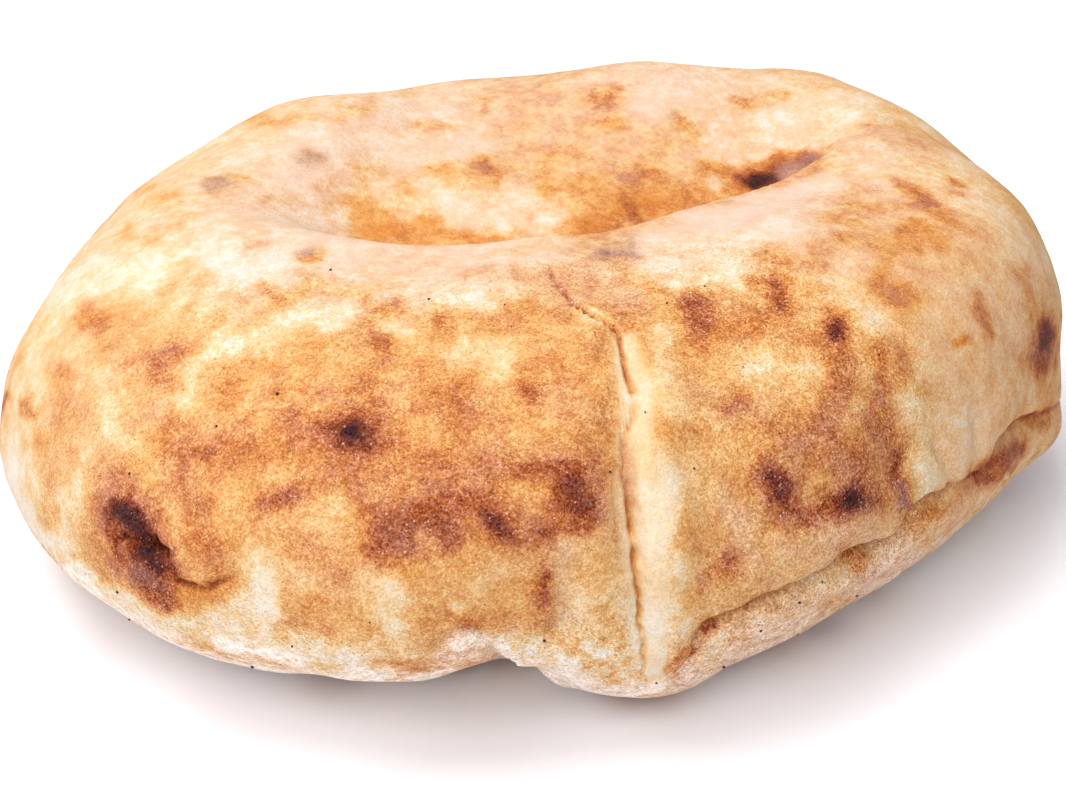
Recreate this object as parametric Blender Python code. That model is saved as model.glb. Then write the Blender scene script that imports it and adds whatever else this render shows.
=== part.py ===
"""A puffed flatbread from a wood-fired oven: one solid, lying on its flat underside.

Run it with: blender --background --python part.py
Metres, +Z up. The origin is at the middle of the underside, +X is the long way across,
and -Y is the side with the deep split.

A place on the bread is given by two numbers. The azimuth is in degrees, anticlockwise from +X
as seen from above. The level runs from the middle of the underside over the outside to the
middle of the top: 0 middle of the underside, 1 edge of the flat underside, 2 widest place,
3 crown, 4 middle of the top.
"""
import bpy
import numpy as np

MM = 0.001

# The outline, in millimetres: one value every 22.5 degrees of azimuth, the first at +X.
OUTER_RADIUS = [105, 107, 108.5, 101.5, 94.5, 94, 95, 97, 100, 105.5, 105.5, 99.5, 92.5, 90, 88.5, 94]
BELLY_HEIGHT = [25, 32, 32, 28, 26, 26, 26, 27, 26, 25, 27, 30, 31, 29, 32, 30]
CROWN_HEIGHT = [66, 67.5, 71, 69, 66, 65.5, 67.5, 67.5, 65, 64.5, 64, 65, 66, 66, 66, 66]
SHOULDER_WIDTH = [43, 44, 45, 45, 45, 45, 46, 50, 50, 50, 50, 52, 56, 54, 46, 42]
FOOT_RADIUS = [60, 58, 58, 58, 56, 56, 56, 56, 58, 64, 66, 63, 60, 63, 56, 53]

# How full the wall is above and below its widest place: 2 is an ellipse, more is squarer.
UPPER_FULLNESS = [2.55, 2.4, 2.2, 2.1, 2.1, 2.1, 2.1, 2.1, 2.1, 2.1, 2.1, 2.1, 2.1, 2.1, 2.3, 2.6]
LOWER_FULLNESS = [2.3, 1.9, 1.8, 1.8, 1.8, 1.8, 1.8, 1.8, 2.0, 2.4, 2.0, 1.9, 1.65, 1.95, 1.95, 1.95]
MIDDLE_HEIGHT = 65

# The sunken middle of the top, which falls away behind a lip. In plan, in millimetres, the lip
# runs level at the left and turns back at the right.
LIP_Y = -24.5
LIP_TURN_X = 12
LIP_TURN_LENGTH = 14
LIP_SLOPE = 0.9
LIP_ROUNDING = 4
SUNKEN_DEPTH = 13
SUNKEN_FLOOR = 8
SUNKEN_REACH = 72
SUNKEN_ENDS = [(-78, 0), (-23, 1), (46, 1), (72, 0)]
SUNKEN_RIM_LEVEL = 2.55
SUNKEN_RIM_FADE = 0.8
NEAR_SLOPE_LENGTH = [(-45, 24), (30, 14)]
LIP_FOLD_DEPTH = 2.4
LIP_FOLD_WIDTH = 5.6
LIP_FOLD_OFFSET = 3
LIP_FOLD_ENDS = [(26, 0), (38, 1), (56, 1), (68, 0)]

# The split down the front, as azimuth and level along it. Its left bank slopes gently, its right
# bank is steep and rolls outwards. Depth and roll are given at shares of the way down.
SPLIT_LINE = [
    (272.9, 2.97), (277.1, 2.83), (280.5, 2.78), (283.1, 2.72), (281.9, 2.64), (281.9, 2.53), (279.8, 2.46),
    (279.2, 2.37), (280.1, 2.27), (280.1, 2.12), (280.3, 2.01), (280.9, 1.79), (282.1, 1.58),
]
SPLIT_DEPTH = [
    (0, 0), (0.2, 0.2), (0.3, 0.9), (0.42, 1.2), (0.52, 1.9), (0.62, 2.9), (0.7, 3.2), (0.83, 2.4),
    (0.93, 0.8), (1, 0),
]
SPLIT_LEFT_WIDTH = 4.5
SPLIT_RIGHT_WIDTH = 2.2
SPLIT_ROLL_HEIGHT = [(0.22, 0), (0.35, 0.9), (0.6, 1.5), (0.8, 1.5), (0.95, 0)]
SPLIT_ROLL_OFFSET = 5.5
SPLIT_ROLL_WIDTH = 4.2

# The seam at the lower right, where the top skin hangs over the bottom skin. Its groove, the swell
# above it and the lip below it are given at shares of the way along.
SEAM_LINE = [
    (284.8, 1.67), (287.4, 1.91), (292.1, 1.97), (301.1, 1.975), (310.1, 1.94), (320, 1.94),
    (331, 1.96), (339.5, 2.01), (350, 1.99), (366, 1.94),
]
SEAM_DEPTH = [(0, 0.2), (0.1, 3.4), (0.3, 2.6), (0.52, 2.2), (0.65, 2.4), (0.76, 2.0), (0.9, 0.8), (1, 0)]
SEAM_UPPER_WIDTH = 2.2
SEAM_LOWER_WIDTH = 3.0
SEAM_OVERHANG = [(0, 0.2), (0.1, 1.2), (0.3, 1.9), (0.52, 1.9), (0.6, 1.2), (0.8, 1.0), (0.95, 0)]
SEAM_OVERHANG_WIDTH = 4.2
SEAM_OVERHANG_RISE = 4.6
SEAM_LIP = [(0, 0), (0.1, 1.0), (0.3, 1.4), (0.6, 1.2), (0.8, 1.6), (1, 0.5)]
SEAM_LIP_WIDTH = 4.0
SEAM_LIP_DROP = 7

# The step left of the split, where the browned front skin ends above the foot.
STEP_LINE = [
    (259.5, 1.80), (261.1, 1.90), (262.9, 1.935), (264.7, 1.87), (268.3, 1.855), (270.1, 1.82),
    (271.2, 1.86), (271.8, 2.00), (271.8, 2.19),
]
STEP_DEPTH = [(0, 0), (0.12, 1.2), (0.8, 1.4), (1, 0)]
STEP_WIDTH = 2.4

# The lobe of bottom skin between the notch and the seam, and the edge that it ends at.
LOBE_AZIMUTH = 278.5
LOBE_LEVEL = 1.5
LOBE_HEIGHT = 3.2
LOBE_WIDTH = 17
LOBE_EDGE = [
    (264.8, 1.88), (265.5, 1.79), (266.4, 1.70), (267.6, 1.60), (269.4, 1.50), (271.8, 1.41), (274.5, 1.29),
    (276.5, 1.14), (278, 1.0),
]
LOBE_EDGE_WIDTH = 1.6

# Round lumps and dents, each an azimuth, a level, a height and a width. The notch stops at the
# lobe's edge.
NOTCH = (265, 1.42, -10, 7)
FOOT_LUMPS = [(268.8, 1.53, -3.4, 5.5), (272, 1.3, -1.8, 8), (251, 1.45, -1.5, 9), (239.5, 1.5, 0.8, 10)]
PINCHED_CORNER = (355, 1.75, 2.6, 9)
BLISTER_DENT = (230.8, 2.13, -1.6, 11)

# The crease that runs from the lower end of the burst blister.
CREASE_LINE = [(235.6, 2.105), (236.3, 2.058), (238.0, 2.05), (240.7, 2.075), (242.4, 2.105)]
CREASE_DEPTH = 1.2
CREASE_WIDTH = 2.0

# Gentle unevenness all over: the longest wave, the number of waves, and their height.
LONGEST_WAVE = 95
WAVE_COUNT = 8
WAVE_SHRINK = 0.80
WAVE_HEIGHT = 0.007
WAVE_SHIFT = 2.1
GOLDEN_ANGLE = np.pi * (3 - np.sqrt(5))

# Where the relief dies out: just outside the flat underside, and towards the middle of the top.
UNDERSIDE_FADE = 0.3
TOP_CALM = [(3.3, 1), (4, 0.2)]

# The facets: the widest column in degrees, and the narrowest, which lie between notch and split;
# and the levels where a run of rows starts, with the number of rows in each run.
COLUMN_ANGLE = 4.1
FRONT_COLUMN_ANGLE = 1.3
FRONT_AZIMUTH = 275
FRONT_REACH = 11
ROWS = [(0, 5), (1, 9), (1.84, 9), (2.1, 15), (3, 13), (4, 0)]

CRUST_COLOUR = (0.66, 0.38, 0.17, 1)
CRUST_ROUGHNESS = 0.85


def ease(x):
    """Smooth rise from 0 at x = 0 to 1 at x = 1."""
    x = np.clip(x, 0, 1)
    return x * x * (3 - 2 * x)


def hump(distance, width):
    """Bell-shaped hump, 1 in the middle."""
    return np.exp(-(distance / width) ** 2)


def between(values, x):
    """Straight runs between (place, value) pairs, level outside them."""
    return np.interp(x, [place for place, _ in values], [value for _, value in values])


def round_the_bread(values, azimuth):
    """Smooth closed curve through values at even steps of azimuth (Catmull-Rom)."""
    values = np.asarray(values, float)
    count = len(values)
    place = (azimuth / 360 * count) % count
    first = np.floor(place).astype(int)
    f = place - first
    a, b, c, d = (values[(first + k) % count] for k in (-1, 0, 1, 2))
    return b + 0.5 * f * (c - a + f * (2 * a - 5 * b + 4 * c - d + f * (3 * b - a - 3 * c + d)))


def plain_form(azimuth, level):
    """The bread without folds: a flat underside, two quarters of a superellipse and a flat top."""
    azimuth, level = np.broadcast_arrays(np.asarray(azimuth, float), np.asarray(level, float))
    outer = round_the_bread(OUTER_RADIUS, azimuth)
    belly = round_the_bread(BELLY_HEIGHT, azimuth)
    crown = round_the_bread(CROWN_HEIGHT, azimuth)
    shoulder = round_the_bread(SHOULDER_WIDTH, azimuth)
    foot = round_the_bread(FOOT_RADIUS, azimuth)
    upper_power = 2 / round_the_bread(UPPER_FULLNESS, azimuth)
    lower_power = 2 / round_the_bread(LOWER_FULLNESS, azimuth)

    lower = np.clip(level - 1, 0, 1) * np.pi / 2
    upper = np.clip(level - 2, 0, 1) * np.pi / 2
    inward = np.clip(4 - level, 0, 1)
    lower_out = np.sin(lower) ** lower_power
    lower_up = 1 - np.clip(np.cos(lower), 0, 1) ** lower_power
    upper_in = 1 - np.clip(np.cos(upper), 0, 1) ** upper_power
    upper_up = np.sin(upper) ** upper_power

    regions = [level < 1, level < 2, level < 3]
    radius = np.select(
        regions,
        [foot * level, foot + (outer - foot) * lower_out, outer - shoulder * upper_in],
        (outer - shoulder) * inward,
    )
    height = np.select(
        regions,
        [0 * belly, belly * lower_up, belly + (crown - belly) * upper_up],
        MIDDLE_HEIGHT + (crown - MIDDLE_HEIGHT) * ease(inward),
    )
    turn = np.radians(azimuth)
    return np.stack([radius * np.cos(turn), radius * np.sin(turn), height], -1)


def outward(azimuth, level):
    """Unit direction off the surface: down below, level at the widest place, up on the top."""
    tilt = np.clip(level - 2, -1, 1) * np.pi / 2
    turn = np.radians(azimuth)
    return np.stack([np.cos(tilt) * np.cos(turn), np.cos(tilt) * np.sin(turn), np.sin(tilt)], -1)


def sunken_middle(points, level):
    """Depth of the hollow in the top: steep behind the lip, rising gently to the far rim."""
    x, y = points[..., 0], points[..., 1]
    past_turn = x - LIP_TURN_X
    lip = LIP_Y + LIP_SLOPE / 2 * (past_turn + np.hypot(past_turn, LIP_TURN_LENGTH))
    behind = y - lip
    hollow = SUNKEN_DEPTH * ease(between(SUNKEN_ENDS, x))
    hollow *= ease((behind + LIP_ROUNDING) / between(NEAR_SLOPE_LENGTH, x))
    hollow *= 1 - ease((behind - SUNKEN_FLOOR) / SUNKEN_REACH)
    fold = LIP_FOLD_DEPTH * hump(behind - LIP_FOLD_OFFSET, LIP_FOLD_WIDTH) * between(LIP_FOLD_ENDS, x)
    return (hollow + fold) * ease((level - SUNKEN_RIM_LEVEL) / SUNKEN_RIM_FADE)


def smooth_line(line, place):
    """Azimuth and level at a place along a line, 0 at its first knot and 1 at the next (Catmull-Rom)."""
    knots = np.array([line[0]] + line + [line[-1]], float)
    first = np.clip(np.floor(place).astype(int), 0, len(line) - 2)
    f = (place - first)[:, None]
    a, b, c, d = (knots[first + k] for k in range(4))
    curve = b + 0.5 * f * (c - a + f * (2 * a - 5 * b + 4 * c - d + f * (3 * b - a - 3 * c + d)))
    return curve[:, 0], curve[:, 1]


def across_line(points, azimuth, level, line, steps=10):
    """Distance across a line on the plain form, the share of the way along it, and the side.

    The line is a list of (azimuth, level). The distance is in millimetres; past the line's ends it
    is to the end place. The side is true on the left of someone who walks along the line.
    """
    fine = np.linspace(0, len(line) - 1, (len(line) - 1) * steps + 1)
    line_azimuth, line_level = smooth_line(line, fine)
    path = plain_form(line_azimuth, line_level)
    run = np.gradient(path, axis=0)
    run /= np.linalg.norm(run, axis=1)[:, None]

    gap = points[..., None, :] - path
    nearest = np.argmin((gap ** 2).sum(-1), -1)
    gap = np.take_along_axis(gap, nearest[..., None, None], -2)[..., 0, :]
    forward = (gap * run[nearest]).sum(-1)
    inside = (nearest > 0) & (nearest < len(fine) - 1)
    squared = (gap ** 2).sum(-1) - np.where(inside, forward ** 2, 0)
    turned = (azimuth - line_azimuth[nearest] + 180) % 360 - 180
    raised = level - line_level[nearest]
    left = np.gradient(line_azimuth)[nearest] * raised > np.gradient(line_level)[nearest] * turned
    return np.sqrt(np.clip(squared, 0, None)), fine[nearest] / fine[-1], left


def lump(points, azimuth, level, height, width):
    """Round bell-shaped lump, or dent where the height is negative, at a place on the plain form."""
    return height * hump(np.linalg.norm(points - plain_form(azimuth, level), axis=-1), width)


def split_relief(points, azimuth, level):
    """The split: a shallow crack on the top that opens to a deep, lopsided groove down the wall."""
    distance, along, right_bank = across_line(points, azimuth, level, SPLIT_LINE)
    width = np.where(right_bank, SPLIT_RIGHT_WIDTH, SPLIT_LEFT_WIDTH)
    groove = between(SPLIT_DEPTH, along) * hump(distance, width)
    roll = between(SPLIT_ROLL_HEIGHT, along) * right_bank
    return roll * hump(distance - SPLIT_ROLL_OFFSET, SPLIT_ROLL_WIDTH) - groove


def seam_relief(points, azimuth, level):
    """The seam: a groove, with the top skin swelling out above it and the bottom skin below it."""
    distance, along, above = across_line(points, azimuth, level, SEAM_LINE)
    height = np.where(above, distance, -distance)
    groove = between(SEAM_DEPTH, along) * hump(distance, np.where(above, SEAM_UPPER_WIDTH, SEAM_LOWER_WIDTH))
    overhang = between(SEAM_OVERHANG, along) * hump(height - SEAM_OVERHANG_RISE, SEAM_OVERHANG_WIDTH)
    return overhang + between(SEAM_LIP, along) * hump(height + SEAM_LIP_DROP, SEAM_LIP_WIDTH) - groove


def step_relief(points, azimuth, level):
    """The step, the notch, and the flat-topped lobe of bottom skin that ends at an edge."""
    distance, along, _ = across_line(points, azimuth, level, STEP_LINE)
    step = between(STEP_DEPTH, along) * hump(distance, STEP_WIDTH)
    from_edge, _, on_lobe = across_line(points, azimuth, level, LOBE_EDGE)
    from_edge = np.where(on_lobe | (azimuth > LOBE_EDGE[-1][0]), from_edge, -from_edge)
    past_edge = ease(from_edge / LOBE_EDGE_WIDTH / 2 + 0.5)
    from_lobe = np.linalg.norm(points - plain_form(LOBE_AZIMUTH, LOBE_LEVEL), axis=-1)
    lobe = LOBE_HEIGHT * hump(from_lobe ** 2 / LOBE_WIDTH, LOBE_WIDTH)
    return lobe * past_edge + lump(points, *NOTCH) * (1 - past_edge) - step


def lumps_and_crease(points, azimuth, level):
    """The lumps and dents of the foot, the pinched corner, and the burst blister with its crease."""
    total = sum(lump(points, *values) for values in FOOT_LUMPS + [PINCHED_CORNER, BLISTER_DENT])
    distance, _, _ = across_line(points, azimuth, level, CREASE_LINE)
    return total - CREASE_DEPTH * hump(distance, CREASE_WIDTH)


def gentle_waves(points):
    """Unevenness of hand-stretched dough: a sum of waves, each shorter and lower than the last."""
    total = np.zeros(points.shape[:-1])
    for n in range(WAVE_COUNT):
        length = LONGEST_WAVE * WAVE_SHRINK ** n
        rise = 1 - 2 * (n + 0.5) / WAVE_COUNT
        flat = np.sqrt(1 - rise ** 2)
        direction = np.array([flat * np.cos(n * GOLDEN_ANGLE), flat * np.sin(n * GOLDEN_ANGLE), rise])
        total += WAVE_HEIGHT * length * np.sin(points @ direction * 2 * np.pi / length + n * WAVE_SHIFT)
    return total


def bread_points(azimuth, level):
    """Points of the finished surface in millimetres."""
    points = plain_form(azimuth, level)
    azimuth, level = np.broadcast_arrays(azimuth, level)
    relief = gentle_waves(points)
    relief += split_relief(points, azimuth, level)
    relief += seam_relief(points, azimuth, level)
    relief += step_relief(points, azimuth, level)
    relief += lumps_and_crease(points, azimuth, level)
    relief *= ease((level - 1) / UNDERSIDE_FADE) * between(TOP_CALM, level)
    raised = points + outward(azimuth, level) * relief[..., None]
    raised[..., 2] -= sunken_middle(points, level)
    raised[..., 2] = np.clip(raised[..., 2], 0, None)
    return raised


def column_azimuths():
    """Azimuths of the columns of facets, close together about the notch and the split."""
    azimuth = np.linspace(0, 360, 3601)
    per_degree = 1 / COLUMN_ANGLE + hump(azimuth - FRONT_AZIMUTH, FRONT_REACH) / FRONT_COLUMN_ANGLE
    mean = (per_degree[1:] + per_degree[:-1]) / 2
    filled = np.concatenate([[0], np.cumsum(mean) * (azimuth[1] - azimuth[0])])
    count = int(round(filled[-1]))
    return np.interp(np.arange(count) / count * filled[-1], filled, azimuth)


def row_levels():
    """Levels of the rows, close together about the seam, without the two middles."""
    runs = [np.linspace(low, high, count, endpoint=False) for (low, count), (high, _) in zip(ROWS, ROWS[1:])]
    return np.concatenate(runs)[1:]


def bread_mesh(name):
    """Closed mesh: rings of quads, and a fan of triangles round each middle."""
    azimuths = column_azimuths()
    levels = row_levels()
    columns, rows = len(azimuths), len(levels)
    rings = bread_points(azimuths[None, :], levels[:, None])
    under_middle = bread_points(np.zeros(1), np.zeros(1))
    top_middle = bread_points(np.zeros(1), np.full(1, 4.0))
    points = np.vstack([rings.reshape(-1, 3), under_middle, top_middle])
    low, high = points.min(0), points.max(0)
    points -= [(low[0] + high[0]) / 2, (low[1] + high[1]) / 2, 0]

    here = np.arange(columns)
    beside = (here + 1) % columns
    faces = []
    for row in range(rows - 1):
        below, above = row * columns, (row + 1) * columns
        faces += [(below + a, below + b, above + b, above + a) for a, b in zip(here, beside)]
    under, top, last_row = rows * columns, rows * columns + 1, (rows - 1) * columns
    faces += [(under, b, a) for a, b in zip(here, beside)]
    faces += [(top, last_row + a, last_row + b) for a, b in zip(here, beside)]

    mesh = bpy.data.meshes.new(name)
    mesh.from_pydata((points * MM).tolist(), [], [tuple(int(k) for k in face) for face in faces])
    mesh.update()
    mesh.shade_smooth()
    return mesh


def crust_material():
    """Matt golden crust."""
    material = bpy.data.materials.new("baked crust")
    material.use_nodes = True
    shader = material.node_tree.nodes["Principled BSDF"]
    shader.inputs["Base Color"].default_value = CRUST_COLOUR
    shader.inputs["Roughness"].default_value = CRUST_ROUGHNESS
    shader.inputs["Metallic"].default_value = 0.0
    return material


for old in list(bpy.data.objects):
    bpy.data.objects.remove(old, do_unlink=True)

bread = bpy.data.objects.new("flatbread", bread_mesh("flatbread"))
bread.data.materials.append(crust_material())
bpy.context.scene.collection.objects.link(bread)
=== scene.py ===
"""The looks of a puffed flatbread from a wood-fired oven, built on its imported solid.

Lengths are in millimetres until a mesh is made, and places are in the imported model's frame.
"""

import bpy
import numpy as np
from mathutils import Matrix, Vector


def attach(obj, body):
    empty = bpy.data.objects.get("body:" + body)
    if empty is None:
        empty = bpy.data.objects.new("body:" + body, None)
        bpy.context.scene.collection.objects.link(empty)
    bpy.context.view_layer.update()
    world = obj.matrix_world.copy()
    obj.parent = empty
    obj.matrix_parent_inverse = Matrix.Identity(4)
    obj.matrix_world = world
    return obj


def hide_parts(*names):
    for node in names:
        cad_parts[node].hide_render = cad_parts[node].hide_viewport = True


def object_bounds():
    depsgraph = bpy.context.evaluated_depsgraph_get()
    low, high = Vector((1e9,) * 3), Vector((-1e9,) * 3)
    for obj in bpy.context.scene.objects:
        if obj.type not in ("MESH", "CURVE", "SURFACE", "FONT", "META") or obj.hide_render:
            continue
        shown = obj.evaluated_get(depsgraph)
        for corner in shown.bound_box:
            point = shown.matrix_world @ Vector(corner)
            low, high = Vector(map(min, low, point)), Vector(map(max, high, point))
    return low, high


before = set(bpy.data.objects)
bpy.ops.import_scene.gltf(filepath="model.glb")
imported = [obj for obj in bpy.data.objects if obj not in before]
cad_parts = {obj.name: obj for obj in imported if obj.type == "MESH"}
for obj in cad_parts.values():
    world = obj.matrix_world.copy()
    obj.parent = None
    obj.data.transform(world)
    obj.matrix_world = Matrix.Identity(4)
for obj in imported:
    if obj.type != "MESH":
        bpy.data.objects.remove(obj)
cad_low, cad_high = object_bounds()

# The view
# The bread lies on a table, and is seen from in front and about 28 degrees above.
# The lens is a short telephoto, held level and close, so the near wall looks tall.
MM = 0.001
CAMERA_PLACE = Vector((-1.8, -342.8, 205.4)) * MM
CAMERA_AIM = Vector((-2.6, -22.4, 30.3)) * MM
LENS = 65
SENSOR = 36
PHOTO_WIDTH = 1066
PHOTO_HEIGHT = 800


def put_in_scene(name, data):
    """New object in the scene, at the origin, with its data."""
    new_object = bpy.data.objects.new(name, data)
    bpy.context.scene.collection.objects.link(new_object)
    return new_object


def place_and_aim(thing, place, aim):
    """Puts a camera or light at a place and turns it to look at another."""
    thing.location = place
    thing.rotation_euler = (aim - place).to_track_quat("-Z", "Y").to_euler()


camera = put_in_scene("camera", bpy.data.cameras.new("camera"))
camera.data.lens = LENS
camera.data.sensor_width = SENSOR
place_and_aim(camera, CAMERA_PLACE, CAMERA_AIM)
bpy.context.scene.camera = camera

# The bread's form
# One round of leavened dough, stretched by hand and baked on the oven's floor, where steam puffed
# it up. A place on it has an azimuth in degrees, anticlockwise from +X as seen from above, and a
# level: 0 middle of the underside, 1 its edge, 2 the widest place, 3 the crown, 4 the top's middle.
OUTER_RADIUS = [105, 107, 108.5, 101.5, 94.5, 94, 95, 97, 100, 105.5, 105.5, 99.5, 92.5, 90, 88.5, 94]
BELLY_HEIGHT = [25, 32, 32, 28, 26, 26, 26, 27, 26, 25, 27, 30, 31, 29, 32, 30]
CROWN_HEIGHT = [66, 67.5, 71, 69, 66, 65.5, 67.5, 67.5, 65, 64.5, 64, 65, 66, 66, 66, 66]
SHOULDER_WIDTH = [43, 44, 45, 45, 45, 45, 46, 50, 50, 50, 50, 52, 56, 54, 46, 42]
FOOT_RADIUS = [60, 58, 58, 58, 56, 56, 56, 56, 58, 64, 66, 63, 60, 64, 62, 60]
UPPER_FULLNESS = [2.55, 2.4, 2.2, 2.1, 2.1, 2.1, 2.1, 2.1, 2.1, 2.1, 2.1, 2.1, 2.1, 2.1, 2.3, 2.6]
LOWER_FULLNESS = [2.3, 1.9, 1.8, 1.8, 1.8, 1.8, 1.8, 1.8, 2.0, 2.4, 2.0, 1.9, 1.65, 2.05, 2.2, 2.3]
MIDDLE_HEIGHT = 65


def ease(x):
    """Smooth rise from 0 at x = 0 to 1 at x = 1: three x squared less two x cubed."""
    x = np.clip(x, 0, 1)
    return x * x * (3 - 2 * x)


def hump(distance, width):
    """Bell-shaped hump: e to the power of minus the square of distance over width."""
    return np.exp(-(distance / width) ** 2)


def between(values, x):
    """Straight runs between (place, value) pairs, level outside them."""
    return np.interp(x, [place for place, _ in values], [value for _, value in values])


def curve_through(a, b, c, d, f):
    """Smooth cubic from b at f = 0 to c at f = 1, heading as a to c and b to d do (Catmull-Rom)."""
    return b + 0.5 * f * (c - a + f * (2 * a - 5 * b + 4 * c - d + f * (3 * b - a - 3 * c + d)))


def round_the_bread(values, azimuth):
    """Smooth closed curve through values at even steps of azimuth."""
    values = np.asarray(values, float)
    count = len(values)
    place = (azimuth / 360 * count) % count
    first = np.floor(place).astype(int)
    return curve_through(*(values[(first + k) % count] for k in (-1, 0, 1, 2)), place - first)


def plain_form(azimuth, level):
    """The bread without folds: a flat underside, two quarters of a superellipse and a flat top."""
    azimuth, level = np.broadcast_arrays(np.asarray(azimuth, float), np.asarray(level, float))
    outer, belly, crown, shoulder, foot = (
        round_the_bread(values, azimuth)
        for values in (OUTER_RADIUS, BELLY_HEIGHT, CROWN_HEIGHT, SHOULDER_WIDTH, FOOT_RADIUS)
    )
    upper_power = 2 / round_the_bread(UPPER_FULLNESS, azimuth)
    lower_power = 2 / round_the_bread(LOWER_FULLNESS, azimuth)

    lower = np.clip(level - 1, 0, 1) * np.pi / 2
    upper = np.clip(level - 2, 0, 1) * np.pi / 2
    inward = np.clip(4 - level, 0, 1)
    lower_out = np.sin(lower) ** lower_power
    lower_up = 1 - np.clip(np.cos(lower), 0, 1) ** lower_power
    upper_in = 1 - np.clip(np.cos(upper), 0, 1) ** upper_power
    upper_up = np.sin(upper) ** upper_power

    regions = [level < 1, level < 2, level < 3]
    radius = np.select(
        regions,
        [foot * level, foot + (outer - foot) * lower_out, outer - shoulder * upper_in],
        (outer - shoulder) * inward,
    )
    height = np.select(
        regions,
        [0 * belly, belly * lower_up, belly + (crown - belly) * upper_up],
        MIDDLE_HEIGHT + (crown - MIDDLE_HEIGHT) * ease(inward),
    )
    turn = np.radians(azimuth)
    return np.stack([radius * np.cos(turn), radius * np.sin(turn), height], -1)


def outward_and_upward(azimuth, level):
    """Unit directions off the surface and up along it.

    Outward is down below, level at the widest place and up on the top. Upward is square to it.
    """
    tilt = np.clip(level - 2, -1, 1) * np.pi / 2
    turn = np.radians(azimuth)
    outward = np.stack([np.cos(tilt) * np.cos(turn), np.cos(tilt) * np.sin(turn), np.sin(tilt)], -1)
    upward = np.stack([-np.sin(tilt) * np.cos(turn), -np.sin(tilt) * np.sin(turn), np.cos(tilt)], -1)
    return outward, upward


# The sunken middle
# The steam escaped and the top sank behind a lip of crust, which runs level at the left and turns
# back at the right, where the lip folds over and the fire has burnt the fold.
LIP_Y = -24.5
LIP_TURN_X = 12
LIP_TURN_LENGTH = 14
LIP_SLOPE = 0.9
LIP_ROUNDING = 4
SUNKEN_DEPTH = 13
SUNKEN_FLOOR = 8
SUNKEN_REACH = 72
SUNKEN_ENDS = [(-78, 0), (-23, 1), (46, 1), (72, 0)]
SUNKEN_RIM_LEVEL = 2.55
SUNKEN_RIM_FADE = 0.8
NEAR_SLOPE_LENGTH = [(-45, 24), (30, 14)]
LIP_FOLD_DEPTH = 2.8
LIP_FOLD_WIDTH = 4.6
LIP_FOLD_OFFSET = 3
LIP_FOLD_ENDS = [(26, 0), (38, 1), (56, 1), (68, 0)]


def behind_lip(points):
    """How far back from the lip. Its line is a hyperbola: level at the left and a slope at the right."""
    past_turn = points[..., 0] - LIP_TURN_X
    return points[..., 1] - LIP_Y - LIP_SLOPE / 2 * (past_turn + np.hypot(past_turn, LIP_TURN_LENGTH))


def sunken_middle(points, level):
    """Depth of the hollow in the top: steep behind the lip, rising gently to the far rim."""
    x, behind = points[..., 0], behind_lip(points)
    hollow = SUNKEN_DEPTH * ease(between(SUNKEN_ENDS, x))
    hollow *= ease((behind + LIP_ROUNDING) / between(NEAR_SLOPE_LENGTH, x))
    hollow *= 1 - ease((behind - SUNKEN_FLOOR) / SUNKEN_REACH)
    fold = LIP_FOLD_DEPTH * hump(behind - LIP_FOLD_OFFSET, LIP_FOLD_WIDTH) * between(LIP_FOLD_ENDS, x)
    return (hollow + fold) * ease((level - SUNKEN_RIM_LEVEL) / SUNKEN_RIM_FADE)


# The lines of tears and folds
# A tear or fold follows a line of a few places on the form, each an azimuth and a level. Its edge
# is a little ragged. What is stated along it goes by the share of the way, from 0 to 1.
FOLD_REACH = 22
RAGS = [(3.2, 0.6), (1.2, 0.25)]
LATTICE = np.random.default_rng(7).uniform(-1, 1, 4096)
LATTICE_STRIDES = (73856093, 19349663, 83492791)
LATTICE_SHIFT = 31.7


def cloudy(points, size, seed=0):
    """Smooth random field from -1 to 1 with lumps about size across.

    Each corner of a cubic lattice has a random value, found by scrambling the corner's numbers, and
    the eight values round a point are eased together along each axis.
    """
    cells = points / size + LATTICE_SHIFT * (seed + 1)
    corner = np.floor(cells).astype(np.int64)
    share = ease(cells - corner)
    total = 0
    for k in range(8):
        step = np.array([k & 1, k >> 1 & 1, k >> 2 & 1])
        scrambled = (corner + step) * np.array(LATTICE_STRIDES)
        drawn = LATTICE[(scrambled[..., 0] ^ scrambled[..., 1] ^ scrambled[..., 2]) % len(LATTICE)]
        total = total + drawn * np.where(step, share, 1 - share).prod(-1)
    return total


def all_clouds(points, sizes, seed):
    """Sum of cloudy fields, one for each (size, height) pair."""
    return sum(height * cloudy(points, size, seed + n) for n, (size, height) in enumerate(sizes))


def three_clouds(points, size, seed):
    """Three cloudy fields at once, for pushing points about."""
    return np.stack([cloudy(points, size, seed + k) for k in range(3)], -1)


def smooth_line(line, place):
    """Azimuth and level at a place along a line, which is 0 at its first knot and 1 at the next."""
    knots = np.array([line[0]] + line + [line[-1]], float)
    first = np.clip(np.floor(place).astype(int), 0, len(line) - 2)
    return curve_through(*(knots[first + k] for k in range(4)), (place - first)[:, None]).T


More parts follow.
